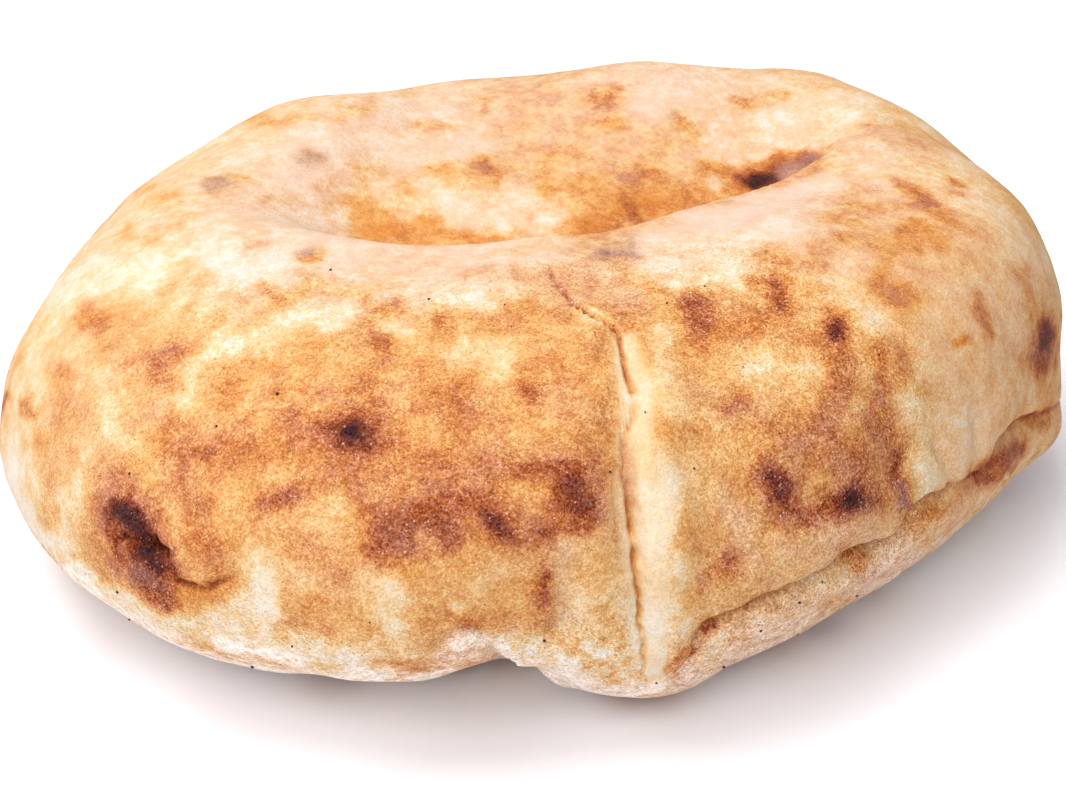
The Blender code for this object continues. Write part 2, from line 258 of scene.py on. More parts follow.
def across_line(points, azimuth, level, line, seed, steps=10):
    """Ragged distance across a line on the plain form, the share of the way along it, and the side.

    The distance is in millimetres, from each point to the nearest place on the line; past the line's
    ends it is to the end place. The side is true on the left of someone who walks along the line.
    """
    fine = np.linspace(0, len(line) - 1, (len(line) - 1) * steps + 1)
    line_azimuth, line_level = smooth_line(line, fine)
    path = plain_form(line_azimuth, line_level)
    run = np.gradient(path, axis=0)
    run /= np.linalg.norm(run, axis=1)[:, None]

    middle = path.mean(0)
    reach = np.linalg.norm(path - middle, axis=1).max() + FOLD_REACH
    near = np.linalg.norm(points - middle, axis=-1) < reach
    distance = np.full(near.shape, np.inf)
    along = np.zeros(near.shape)
    left = np.zeros(near.shape, bool)

    ragged = points[near]
    for n, (size, push) in enumerate(RAGS):
        ragged = ragged + push * three_clouds(points[near], size, seed + 4 * n)
    gap = ragged[:, None, :] - path
    nearest = np.argmin((gap ** 2).sum(-1), -1)
    gap = gap[np.arange(len(gap)), nearest]
    forward = (gap * run[nearest]).sum(-1)
    inside = (nearest > 0) & (nearest < len(fine) - 1)
    squared = (gap ** 2).sum(-1) - np.where(inside, forward ** 2, 0)
    turned = (azimuth[near] - line_azimuth[nearest] + 180) % 360 - 180
    raised = level[near] - line_level[nearest]

    distance[near] = np.sqrt(np.clip(squared, 0, None))
    along[near] = fine[nearest] / fine[-1]
    left[near] = np.gradient(line_azimuth)[nearest] * raised > np.gradient(line_level)[nearest] * turned
    return distance, along, left


def lump(points, azimuth, level, height, width):
    """Round bell-shaped lump at a place on the plain form."""
    return height * hump(np.linalg.norm(points - plain_form(azimuth, level), axis=-1), width)


# The split
# The skin tore down the front as the bread puffed. On the top it is a hairline crack, open for a
# few millimetres. Down the wall its left bank slopes gently, and its right bank is a steep roll.
SPLIT_LINE = [
    (272.9, 2.97), (277.1, 2.83), (280.5, 2.78), (283.1, 2.72), (282.3, 2.64), (282.4, 2.53), (280.3, 2.46),
    (279.5, 2.37), (280.1, 2.27), (280.1, 2.12), (280.3, 2.01), (280.9, 1.79), (282.1, 1.58),
]
SPLIT_DEPTH = [
    (0, 0), (0.2, 0.2), (0.3, 0.9), (0.42, 1.2), (0.52, 1.9), (0.62, 2.9), (0.7, 3.2), (0.83, 2.4),
    (0.93, 0.8), (1, 0),
]
SPLIT_LEFT_WIDTH = 4.5
SPLIT_RIGHT_WIDTH = [(0.25, 2.6), (0.5, 2.2), (0.66, 1.2), (0.9, 1.2)]
SPLIT_ROLL_HEIGHT = [(0.22, 0), (0.35, 0.9), (0.6, 1.5), (0.8, 1.5), (0.95, 0)]
SPLIT_ROLL_OFFSET = 5.5
SPLIT_ROLL_WIDTH = 4.2
CRACK_DEPTH = [
    (0, 0.4), (0.08, 0.7), (0.1, 0.6), (0.125, 1.2), (0.16, 1.2), (0.19, 0.9), (0.25, 0.9), (0.33, 1.0),
    (0.41, 0.9), (0.47, 0.6), (0.62, 0.6), (0.66, 1.0), (0.9, 0.9), (0.96, 0),
]
CRACK_WIDTH = [(0, 0.45), (0.11, 0.45), (0.13, 0.8), (0.155, 0.7), (0.18, 0.45), (0.24, 0.42)]
# The crack's darkening is partly browned crust and partly painted shade inside the narrow crack.
CRACK_STAIN_AND_SHADE = [
    (0, 0.6), (0.04, 0.8), (0.08, 0.8), (0.1, 0.6), (0.125, 0.8), (0.16, 0.7), (0.19, 0.6), (0.25, 0.6),
    (0.32, 0.5), (0.41, 0.45), (0.47, 0.35), (0.62, 0.35), (0.66, 0.45), (0.85, 0.42), (0.93, 0.15), (1, 0),
]
FRESH_RIGHT = [
    (0.24, 0), (0.3, 2.2), (0.45, 3.0), (0.53, 4.5), (0.6, 7), (0.67, 6.5), (0.72, 3.6), (0.93, 3.6), (1, 3),
]
FRESH_LEFT = [(0.24, 0), (0.3, 2.2), (0.45, 3.0), (0.5, 2.2), (0.6, 2.2), (0.7, 1.6), (0.9, 1.0), (1, 0)]
FRESH_EDGE = 4.0
FRESH_RAG = 1.8
FRESH_RAG_SIZE = 6


def split_relief(points, azimuth, level):
    """The split's lopsided groove with a roll on its right bank, and a narrow crack along its bottom.

    Gives the relief, the crack's stain and painted shade, and where the skin opened late and stayed pale and
    smooth.
    """
    distance, along, right_bank = across_line(points, azimuth, level, SPLIT_LINE, seed=20)
    width = np.where(right_bank, between(SPLIT_RIGHT_WIDTH, along), SPLIT_LEFT_WIDTH)
    groove = between(SPLIT_DEPTH, along) * hump(distance, width)
    roll = between(SPLIT_ROLL_HEIGHT, along) * right_bank
    roll = roll * hump(distance - SPLIT_ROLL_OFFSET, SPLIT_ROLL_WIDTH)
    crack = hump(distance, between(CRACK_WIDTH, along))
    crack_depth, crack_stain_and_shade = between(CRACK_DEPTH, along) * crack, between(CRACK_STAIN_AND_SHADE, along) * crack
    pale_width = np.where(right_bank, between(FRESH_RIGHT, along), between(FRESH_LEFT, along))
    ragged = distance + FRESH_RAG * cloudy(points, FRESH_RAG_SIZE, seed=28)
    fresh = ease((pale_width - ragged) / FRESH_EDGE + 0.5) * ease(pale_width)
    return roll - groove - crack_depth, crack_stain_and_shade, fresh


# The seam
# At the lower right the top skin came down over the bottom skin as the bread sank, and hangs over
# it as a soft pillow. The bottom skin has a lip of its own and a pinched corner at the right.
SEAM_LINE = [
    (284.8, 1.67), (286.4, 1.79), (287.4, 1.92), (289.2, 1.95), (292.1, 1.975), (296.3, 1.99),
    (301.1, 1.975), (305.3, 1.978), (310.1, 1.94), (313.7, 1.91), (316.1, 1.92), (318.5, 1.972),
    (322.7, 1.968), (328.1, 1.962), (331.7, 1.965), (335, 2.02), (339.5, 2.02), (347.3, 2.00),
    (356, 1.97), (366, 1.94),
]
SEAM_DEPTH = [
    (0, 0.2), (0.05, 0.8), (0.1, 4.2), (0.2, 4.6), (0.3, 3.0), (0.34, 1.6), (0.37, 3.4), (0.43, 3.2),
    (0.52, 2.0), (0.57, 2.6), (0.65, 2.4), (0.7, 1.0), (0.76, 2.2), (0.84, 1.6), (0.9, 0.8), (1, 0),
]
SEAM_UPPER_WIDTH = 1.0
SEAM_LOWER_WIDTH = 2.6
SEAM_OVERHANG = [
    (0, 0.2), (0.1, 1.2), (0.3, 1.9), (0.52, 1.9), (0.58, 1.2), (0.7, 0.8), (0.8, 1.2), (0.95, 0),
]
SEAM_OVERHANG_WIDTH = 4.2
SEAM_OVERHANG_RISE = 4.6
SEAM_SLIDE = [
    (0, 0.2), (0.08, 0.6), (0.12, 2.0), (0.3, 2.2), (0.52, 2.0), (0.6, 1.4), (0.7, 0.8), (0.8, 1.4), (1, 0.2),
]
SEAM_SLIDE_WIDTH = 3.0
SEAM_SLIDE_RISE = 2.2
SEAM_LIP = [(0, 0), (0.1, 1.0), (0.3, 1.4), (0.6, 1.2), (0.8, 1.6), (1, 0.5)]
SEAM_LIP_WIDTH = 4.0
SEAM_LIP_DROP = 7
# The seam's darkening is partly browned crust and partly painted shade in the groove under the overhanging
# top skin.
SEAM_STAIN_AND_SHADE = [
    (0, 0.1), (0.04, 0.25), (0.08, 0.3), (0.1, 1), (0.2, 1), (0.26, 0.95), (0.32, 0.8), (0.34, 0.3),
    (0.37, 0.9), (0.43, 0.9), (0.52, 0.7), (0.57, 1), (0.64, 0.95), (0.68, 0.3), (0.75, 0.9), (0.84, 0.7),
    (0.88, 0.9), (0.93, 0.4), (1, 0),
]
SEAM_STAIN_AND_SHADE_ABOVE = 0.8
SEAM_STAIN_AND_SHADE_BELOW = [
    (0, 0.8), (0.1, 1.7), (0.18, 1.6), (0.28, 1.0), (0.36, 1.0), (0.39, 2.2), (0.44, 1.2), (0.5, 1.0),
]
CORNER = (355, 1.75, 2.6, 9)  # azimuth, level, height and width, as of every lump


def seam_relief(points, azimuth, level):
    """How far the seam pushes the skin outwards and slides the top skin down, and its stain and painted
    shade.

    A groove with a steep upper side, the top skin swelling out above it and the bottom skin below.
    """
    distance, along, above = across_line(points, azimuth, level, SEAM_LINE, seed=30)
    height = np.where(above, distance, -distance)
    groove = between(SEAM_DEPTH, along) * hump(distance, np.where(above, SEAM_UPPER_WIDTH, SEAM_LOWER_WIDTH))
    overhang = between(SEAM_OVERHANG, along) * hump(height - SEAM_OVERHANG_RISE, SEAM_OVERHANG_WIDTH)
    lip = between(SEAM_LIP, along) * hump(height + SEAM_LIP_DROP, SEAM_LIP_WIDTH)
    slide = between(SEAM_SLIDE, along) * hump(height - SEAM_SLIDE_RISE, SEAM_SLIDE_WIDTH)
    stain_and_shade_width = np.where(above, SEAM_STAIN_AND_SHADE_ABOVE, between(SEAM_STAIN_AND_SHADE_BELOW, along))
    stain_and_shade = between(SEAM_STAIN_AND_SHADE, along) * hump(distance, stain_and_shade_width)
    return overhang + lip + lump(points, *CORNER) - groove, slide, stain_and_shade


# The step and the notch
# Left of the split the browned front skin ends in a step above the floury foot, with a notch where
# the foot is drawn in, and a lobe of pale bottom skin, whose edge curls over the notch.
STEP_LINE = [
    (259.5, 1.80), (261.1, 1.90), (262.9, 1.935), (264.7, 1.87), (268.3, 1.855), (270.1, 1.82),
    (271.2, 1.86), (271.8, 2.00), (271.8, 2.19),
]
STEP_DEPTH = [(0, 0), (0.12, 1.2), (0.8, 1.4), (1, 0)]
STEP_BROWN_WIDTH = 0.8
STEP_PALE_WIDTH = 3.2
NOTCH = (265, 1.42, 10, 7)
FOOT_LUMPS = [(268.8, 1.53, -3.4, 5.5), (272, 1.3, -1.8, 8), (251, 1.45, -1.5, 9), (239.5, 1.5, 0.8, 10)]
LOBE_AZIMUTH = 278.5
LOBE_LEVEL = 1.5
LOBE_HEIGHT = 3.2
LOBE_WIDTH = 17
LOBE_EDGE = [
    (264.8, 1.88), (265.5, 1.79), (266.4, 1.70), (267.6, 1.60), (269.4, 1.50), (271.8, 1.41), (274.5, 1.29),
    (276.5, 1.14), (278, 1.0),
]
LOBE_EDGE_WIDTH = 2.0
LOBE_CURL_HEIGHT = 0.7
LOBE_CURL_WIDTH = 1.8
LOBE_FOLD_DEPTH = [(0, 0.9), (0.35, 1.2), (0.55, 0)]
LOBE_FOLD_WIDTH = 0.9


def step_relief(points, azimuth, level):
    """The step and the notch at the front, and the lobe of bottom skin between notch and seam.

    The step is a groove that is steep on its brown side. The lobe is a flat-topped hump that ends
    in a steep curled edge, and the notch is a dent that stops at the same edge.
    """
    distance, along, brown = across_line(points, azimuth, level, STEP_LINE, seed=46)
    step = between(STEP_DEPTH, along) * hump(distance, np.where(brown, STEP_BROWN_WIDTH, STEP_PALE_WIDTH))
    from_edge, along_edge, on_lobe = across_line(points, azimuth, level, LOBE_EDGE, seed=52)
    from_edge = np.where(on_lobe | (azimuth > LOBE_EDGE[-1][0]), from_edge, -from_edge)
    past_edge = ease(from_edge / LOBE_EDGE_WIDTH + 0.5)
    from_lobe = np.linalg.norm(points - plain_form(LOBE_AZIMUTH, LOBE_LEVEL), axis=-1)
    lobe = LOBE_HEIGHT * hump(from_lobe ** 2 / LOBE_WIDTH, LOBE_WIDTH)
    curl = LOBE_CURL_HEIGHT * hump(from_edge - LOBE_CURL_WIDTH, LOBE_CURL_WIDTH)
    fold = between(LOBE_FOLD_DEPTH, along_edge) * hump(from_edge + LOBE_FOLD_WIDTH, LOBE_FOLD_WIDTH)
    lobe = (lobe + curl * (lobe > 1)) * past_edge
    notch = lump(points, *NOTCH) * (1 - past_edge)
    return lobe + sum(lump(points, *values) for values in FOOT_LUMPS) - step - fold - notch


# The burst blister
# At the left a blister of thin skin burst and burnt black. It lies in a shallow dent: a charred lump,
# a torn mouth, a ridge and a loose flap, with a crease that runs from its lower end.
BLISTER_LUMPS = [
    (230.8, 2.13, -1.6, 11), (229.8, 2.20, 1.3, 4.5), (231.4, 2.105, 1.3, 2.8), (233.6, 2.03, 1.2, 5.5),
    (228.9, 2.06, 0.8, 3.0), (238.6, 2.12, 0.9, 6.0),
]
# Each tear: its line, depth, width and darkening, which is partly burnt crust and partly painted shade in the
# tear.
BLISTER_TEARS = [
    ([(228.2, 2.10), (228.9, 2.13), (230.5, 2.128), (232.3, 2.141)], 1.2, 0.8, 1.0),
    ([(232.0, 2.145), (233.6, 2.12), (235.3, 2.113)], 2.8, 1.3, 1.0),
    ([(228.1, 2.105), (227.9, 2.075), (228.2, 2.04)], 0.8, 0.6, 0.8),
    ([(235.6, 2.105), (236.2, 2.066), (238.0, 2.058), (240.7, 2.078), (242.4, 2.105)], 1.1, 0.5, 0.7),
]
TEAR_END = 0.2
CHAR_LINE = [(228.8, 2.21), (230.4, 2.18), (231.4, 2.10), (233.6, 2.03)]
CHAR_REACH = 4.5
CHAR_CRAGS = [(2.4, 0.5), (1.3, 0.35)]


def blister_relief(points, azimuth, level):
    """The burst blister's lumps, its crags where it is charred, its tears, and their stain and painted shade.
    """
    relief = sum(lump(points, *values) for values in BLISTER_LUMPS)
    from_char, _, _ = across_line(points, azimuth, level, CHAR_LINE, seed=60)
    relief += all_clouds(points, CHAR_CRAGS, seed=64) * hump(from_char, CHAR_REACH)
    stain_and_shade = 0 * relief
    for line, depth, width, stained_and_shaded in BLISTER_TEARS:
        distance, along, _ = across_line(points, azimuth, level, line, seed=40)
        tear = hump(distance, width) * ease(along / TEAR_END) * ease((1 - along) / TEAR_END)
        relief -= depth * tear
        stain_and_shade = np.maximum(stain_and_shade, stained_and_shaded * tear)
    return relief, stain_and_shade


# The skin's unevenness
# Hand-stretched dough is never even: long gentle waves all over, lumps and dimples of a few
# millimetres where bubbles lie under the skin, and soft wrinkles where the right wall sank.
LONGEST_WAVE = 95
WAVE_COUNT = 8
WAVE_SHRINK = 0.80
WAVE_HEIGHT = 0.007
WAVE_SHIFT = 2.1
GOLDEN_ANGLE = np.pi * (3 - np.sqrt(5))
LUMPS = [(15, 0.40), (7, 0.20), (3, 0.07)]
WRINKLE_AZIMUTH = 318
WRINKLE_REACH = 24
WRINKLE_SPACING = 4.5
WRINKLE_LENGTH = 30
WRINKLE_HEIGHT = 0.45
WRINKLE_LEVELS = [(1.9, 0.3), (2.95, -0.3)]
PLEAT_START = 0.4
PLEATS = [
    ([(321.0, 2.14), (323.0, 2.05), (325.5, 1.97)], 1.0, 1.2),
    ([(330.5, 2.12), (329.5, 2.05), (328.6, 1.97)], 0.9, 1.4),
]
UNDERSIDE_FADE = 0.3
TOP_CALM = [(3.3, 1), (4, 0.2)]


def within(values, *edges):
    """Share that eases from 0 to 1 past each (start, run) edge, or from 1 to 0 where the run is negative."""
    share = 1
    for start, run in edges:
        share = share * ease((values - start) / run)
    return share


def gentle_waves(points):
    """Unevenness of hand-stretched dough: a sum of waves, each shorter and lower than the last."""
    total = np.zeros(points.shape[:-1])
    for n in range(WAVE_COUNT):
        length = LONGEST_WAVE * WAVE_SHRINK ** n
        rise = 1 - 2 * (n + 0.5) / WAVE_COUNT
        flat = np.sqrt(1 - rise ** 2)
        direction = np.array([flat * np.cos(n * GOLDEN_ANGLE), flat * np.sin(n * GOLDEN_ANGLE), rise])
        total += WAVE_HEIGHT * length * np.sin(points @ direction * 2 * np.pi / length + n * WAVE_SHIFT)
    return total


def lumps_and_wrinkles(points, azimuth, level):
    """Lumps of three sizes, wrinkles up the wall (cloud cells drawn out along it), and two pleats."""
    total = all_clouds(points, LUMPS, seed=50)
    round_way = np.radians(azimuth) * OUTER_RADIUS[0] / WRINKLE_SPACING
    drawn_out = np.stack([round_way, points[..., 2] / WRINKLE_LENGTH, 0 * level], -1)
    wrinkles = cloudy(drawn_out, 1, seed=60) * hump((azimuth - WRINKLE_AZIMUTH) / WRINKLE_REACH, 1)
    total = total + WRINKLE_HEIGHT * wrinkles * within(level, *WRINKLE_LEVELS)
    for line, depth, width in PLEATS:
        distance, along, _ = across_line(points, azimuth, level, line, seed=56)
        total -= depth * hump(distance, width) * ease(along / PLEAT_START)
    return total


def bread_points(azimuth, level):
    """Points of the finished surface in millimetres; how much stain and painted shade, and how freshly torn
    each is.
    """
    points = plain_form(azimuth, level)
    azimuth, level = np.broadcast_arrays(azimuth, level)
    seam, slide, seam_stain_and_shade = seam_relief(points, azimuth, level)
    split, split_stain_and_shade, fresh = split_relief(points, azimuth, level)
    blister, blister_stain_and_shade = blister_relief(points, azimuth, level)
    relief = gentle_waves(points) + lumps_and_wrinkles(points, azimuth, level)
    relief += seam + split + blister + step_relief(points, azimuth, level)
    fade = ease((level - 1) / UNDERSIDE_FADE)
    relief *= fade * between(TOP_CALM, level)
    outward, upward = outward_and_upward(azimuth, level)
    raised = points + outward * relief[..., None]
    raised -= upward * (slide * fade)[..., None]
    raised[..., 2] -= sunken_middle(points, level)
    raised[..., 2] = np.clip(raised[..., 2], 0, None)
    return raised, np.stack([np.maximum(np.maximum(seam_stain_and_shade, split_stain_and_shade), blister_stain_and_shade), fresh], -1)


# The skin's grid
# One closed skin: columns round the bread and rows from the underside to the top. Both are closer
# together where the skin is torn and folded: at the notch, the split, the blister and the seam.
BACK_COLUMN_ANGLE = 2.0
FRONT_COLUMN_ANGLE = 0.68
FRONT_AZIMUTH = 275
FRONT_REACH = (105, -30)
CLOSE_COLUMNS = [(280.9, 2.9, 0.1), (266.5, 2.5, 0.35), (232, 6, 0.6)]
ROWS_PER_LEVEL = [14, 42, 66, 42]
AZIMUTH_STEPS = 7201
LEVEL_STEPS = 4001
SEAM_ROWS = 46
SEAM_ROW_LEVEL = 1.96
SEAM_ROW_REACH = 0.2
CHUNK_ROWS = 12


def evenly_filled(place, density):
    """Places where the running sum of a density passes equal steps, as many as the whole sum."""
    mean = (density[1:] + density[:-1]) / 2
    filled = np.concatenate([[0], np.cumsum(mean * np.diff(place))])
    count = int(round(filled[-1]))
    return np.interp(np.arange(count) / count * filled[-1], filled, place)


def column_azimuths():
    """Azimuths of the columns: fewer behind, more in front, most where the skin is torn."""
    azimuth = np.linspace(0, 360, AZIMUTH_STEPS)
    front = within(np.abs(azimuth - FRONT_AZIMUTH), FRONT_REACH)
    per_degree = 1 / BACK_COLUMN_ANGLE + front * (1 / FRONT_COLUMN_ANGLE - 1 / BACK_COLUMN_ANGLE)
    for middle, reach, angle in CLOSE_COLUMNS:
        per_degree += hump(azimuth - middle, reach) / angle
    return evenly_filled(azimuth, per_degree)


def row_levels():
    """Levels of the rows, without the two middles, with more about the seam."""
    level = np.linspace(0, 4, LEVEL_STEPS)
    per_level = np.select([level < 1, level < 2, level < 3], ROWS_PER_LEVEL[:3], ROWS_PER_LEVEL[3])
    seam = hump(level - SEAM_ROW_LEVEL, SEAM_ROW_REACH)
    per_level = per_level + SEAM_ROWS * seam / (seam.mean() * 4)
    return evenly_filled(level, per_level)[1:]


azimuths = column_azimuths()
levels = row_levels()
pieces = [
    bread_points(azimuths[None, :], chunk[:, None])
    for chunk in np.array_split(levels, len(levels) // CHUNK_ROWS)
]
middles = np.vstack([bread_points(np.zeros(1), np.full(1, middle))[0] for middle in (0.0, 4.0)])
skin = np.vstack([points.reshape(-1, 3) for points, _ in pieces] + [middles])
torn = np.vstack([values.reshape(-1, 2) for _, values in pieces] + [np.zeros((2, 2))])
stain_and_shade, fresh = torn.T
skin_middle = (skin.min(0) + skin.max(0)) / 2
cad_middle = np.array((cad_low + cad_high) / 2) / MM
skin[:, :2] += (cad_middle - skin_middle)[:2]

columns = len(azimuths)
rows = len(levels)


def closed_grid(rows, columns):
    """Quads between rows of points round an axis, and fans to the lowest and highest point.

    The points are row after row, from below, and then the lowest and the highest.
    """
    here = np.arange(columns)
    beside = (here + 1) % columns
    below = np.arange(rows - 1)[:, None] * columns
    above = below + columns
    quads = np.stack([below + here, below + beside, above + beside, above + here], -1).reshape(-1, 4)
    under = np.full(columns, rows * columns)
    last_row = (rows - 1) * columns
    fans = np.concatenate([
        np.stack([under, beside, here], -1),
        np.stack([under + 1, last_row + here, last_row + beside], -1),
    ])
    return quads, fans


def mesh_from(name, points, quads, triangles):
    """Mesh from points in millimetres, quads and triangles, shaded smooth."""
    mesh = bpy.data.meshes.new(name)
    corners = np.concatenate([quads.ravel(), triangles.ravel()])
    sizes = np.concatenate([np.full(len(quads), 4), np.full(len(triangles), 3)])
    mesh.vertices.add(len(points))
    mesh.vertices.foreach_set("co", (points * MM).astype(np.float32).ravel())
    mesh.loops.add(len(corners))
    mesh.loops.foreach_set("vertex_index", corners.astype(np.int32))
    mesh.polygons.add(len(sizes))
    mesh.polygons.foreach_set("loop_start", (np.cumsum(sizes) - sizes).astype(np.int32))
    mesh.update(calc_edges=True)
    mesh.validate()
    mesh.shade_smooth()
    return mesh


bread_mesh = mesh_from("flatbread-crust", skin, *closed_grid(rows, columns))
bread = put_in_scene("flatbread-crust", bread_mesh)

# Where the fire has browned it
# The oven's floor and flame baked the skin unevenly. Each stroke is a kind of crust, half its width
# and the points that it follows, in pixels of the photograph, read off. A kind is how baked
# the skin is from 0 to 1, how pink (below 0: how oily), how ashy and how floury.
# The kind "shaded" is painted shade: greyed, darker skin on the split's left bank, the strip by the step and
# the foot under the notch.
KINDS = {
    "flour": (0.03, 0.7, 0, 0.15), "dusty": (0.13, 0.8, 0, 0.85), "speckled": (0.34, 0.8, 0, 0.35),
    "cream": (0.07, 0.1, 0, 0), "pink": (0.13, 0.8, 0, 0), "straw": (0.15, 0.1, 0, 0),
    "shaded": (0.22, 0.7, 0.2, 0), "golden": (0.25, 0, 0, 0), "peach": (0.20, 0.8, 0, 0),
    "blushed": (0.31, 0.9, 0, 0), "toasted": (0.34, 0.1, 0, 0), "orange": (0.33, -0.3, 0, 0),
    "honey": (0.40, -0.5, 0, 0), "amber": (0.48, -0.5, 0, 0), "rust": (0.70, -0.3, 0, 0),
    "tawny": (0.40, 0.1, 0, 0), "brown": (0.46, 0.1, 0, 0), "red": (0.60, 0, 0, 0),
    "plum": (0.64, 0.15, 0, 0), "dark": (0.82, 0.1, 0.1, 0), "char": (1, 0.1, 0.1, 0),
    "haze": (0.38, 0.7, 0.55, 0), "ash": (0.50, 0.6, 0.6, 0), "soot": (0.70, 0.6, 0.2, 0),
    # "seam" is dark orange-brown: browned crust and painted shade, laid in the grooves of the seam, crack and
    # tears.
    "seam": (0.86, -0.4, 0, 0), "fresh": (0.04, 0.5, 0, 0),
}
STROKES_BEHIND_LIP = [
    # the top, from the left
    ("pink", 60, (100, 250), (200, 180), (330, 140), (450, 120)),
    ("pink", 40, (280, 140), (400, 130), (520, 120)), ("blushed", 45, (520, 110), (620, 120), (690, 110)),
    ("pink", 40, (640, 80), (740, 90), (850, 110)), ("straw", 30, (720, 120), (830, 130), (900, 160)),
    ("golden", 7, (250, 122), (300, 118), (345, 120)), ("golden", 6, (335, 105), (372, 106)),
    ("golden", 5, (402, 93), (415, 91)), ("golden", 6, (130, 192), (150, 184)),
    ("golden", 9, (145, 207), (172, 198)), ("golden", 8, (150, 236), (195, 218)),
    ("golden", 7, (118, 238), (128, 230)), ("golden", 30, (370, 205), (440, 190), (520, 185), (640, 170)),
    ("golden", 8, (358, 170), (382, 168)), ("orange", 18, (352, 205), (364, 226), (415, 238)),
    ("honey", 13, (372, 230), (400, 236), (430, 238)), ("honey", 11, (425, 230), (455, 240), (480, 246)),
    ("orange", 12, (495, 240), (545, 243), (580, 236)), ("golden", 12, (436, 172), (500, 172), (555, 178)),
    ("brown", 5, (471, 160), (482, 166), (498, 177)), ("orange", 13, (540, 186), (600, 190), (660, 185)),
    ("honey", 19, (585, 224), (630, 210), (690, 196)), ("honey", 12, (680, 200), (720, 194), (755, 188)),
    ("amber", 14, (588, 238), (620, 227), (650, 216)), ("red", 6, (629, 202), (634, 222)),
    ("brown", 10, (612, 172), (642, 178)), ("blushed", 22, (560, 130), (590, 150), (615, 160)),
    ("golden", 9, (420, 128), (450, 130)), ("orange", 6, (600, 122), (618, 124)),
    ("orange", 10, (680, 118), (700, 140)), ("brown", 8, (474, 107), (482, 108)),
    ("brown", 10, (590, 96), (612, 94)), ("brown", 6, (740, 103), (770, 107)),
    ("toasted", 8, (775, 95), (790, 93)), ("peach", 6, (460, 103), (476, 106)),
    ("cream", 12, (445, 206), (466, 208)), ("cream", 11, (512, 192), (521, 206)),
    ("cream", 9, (542, 222), (552, 226)), ("cream", 8, (496, 220), (505, 226)),
    ("cream", 6, (336, 214), (344, 222)), ("cream", 8, (425, 184), (436, 190)),
    ("cream", 5, (712, 182), (718, 190)), ("cream", 11, (750, 160), (760, 157)),
    ("cream", 16, (770, 120), (800, 122)), ("cream", 14, (840, 112), (850, 118)),
    ("amber", 7, (705, 165), (728, 174), (748, 180)), ("brown", 6, (762, 170), (782, 163), (794, 158)),
    ("amber", 9, (742, 174), (766, 168), (786, 161)), ("dark", 8, (744, 182), (765, 184), (785, 178)),
    ("char", 7, (758, 183), (770, 183), (782, 178)), ("dark", 8, (784, 176), (798, 169), (812, 162)),
    ("ash", 7, (786, 176), (800, 168), (818, 159)), ("haze", 8, (210, 188), (230, 183)),
    ("golden", 6, (240, 181), (250, 179)), ("haze", 7, (301, 159), (320, 158)),
    ("toasted", 6, (317, 186), (332, 181)), ("blushed", 6, (262, 198), (268, 197)),
    ("blushed", 5, (286, 205), (294, 203)),
]
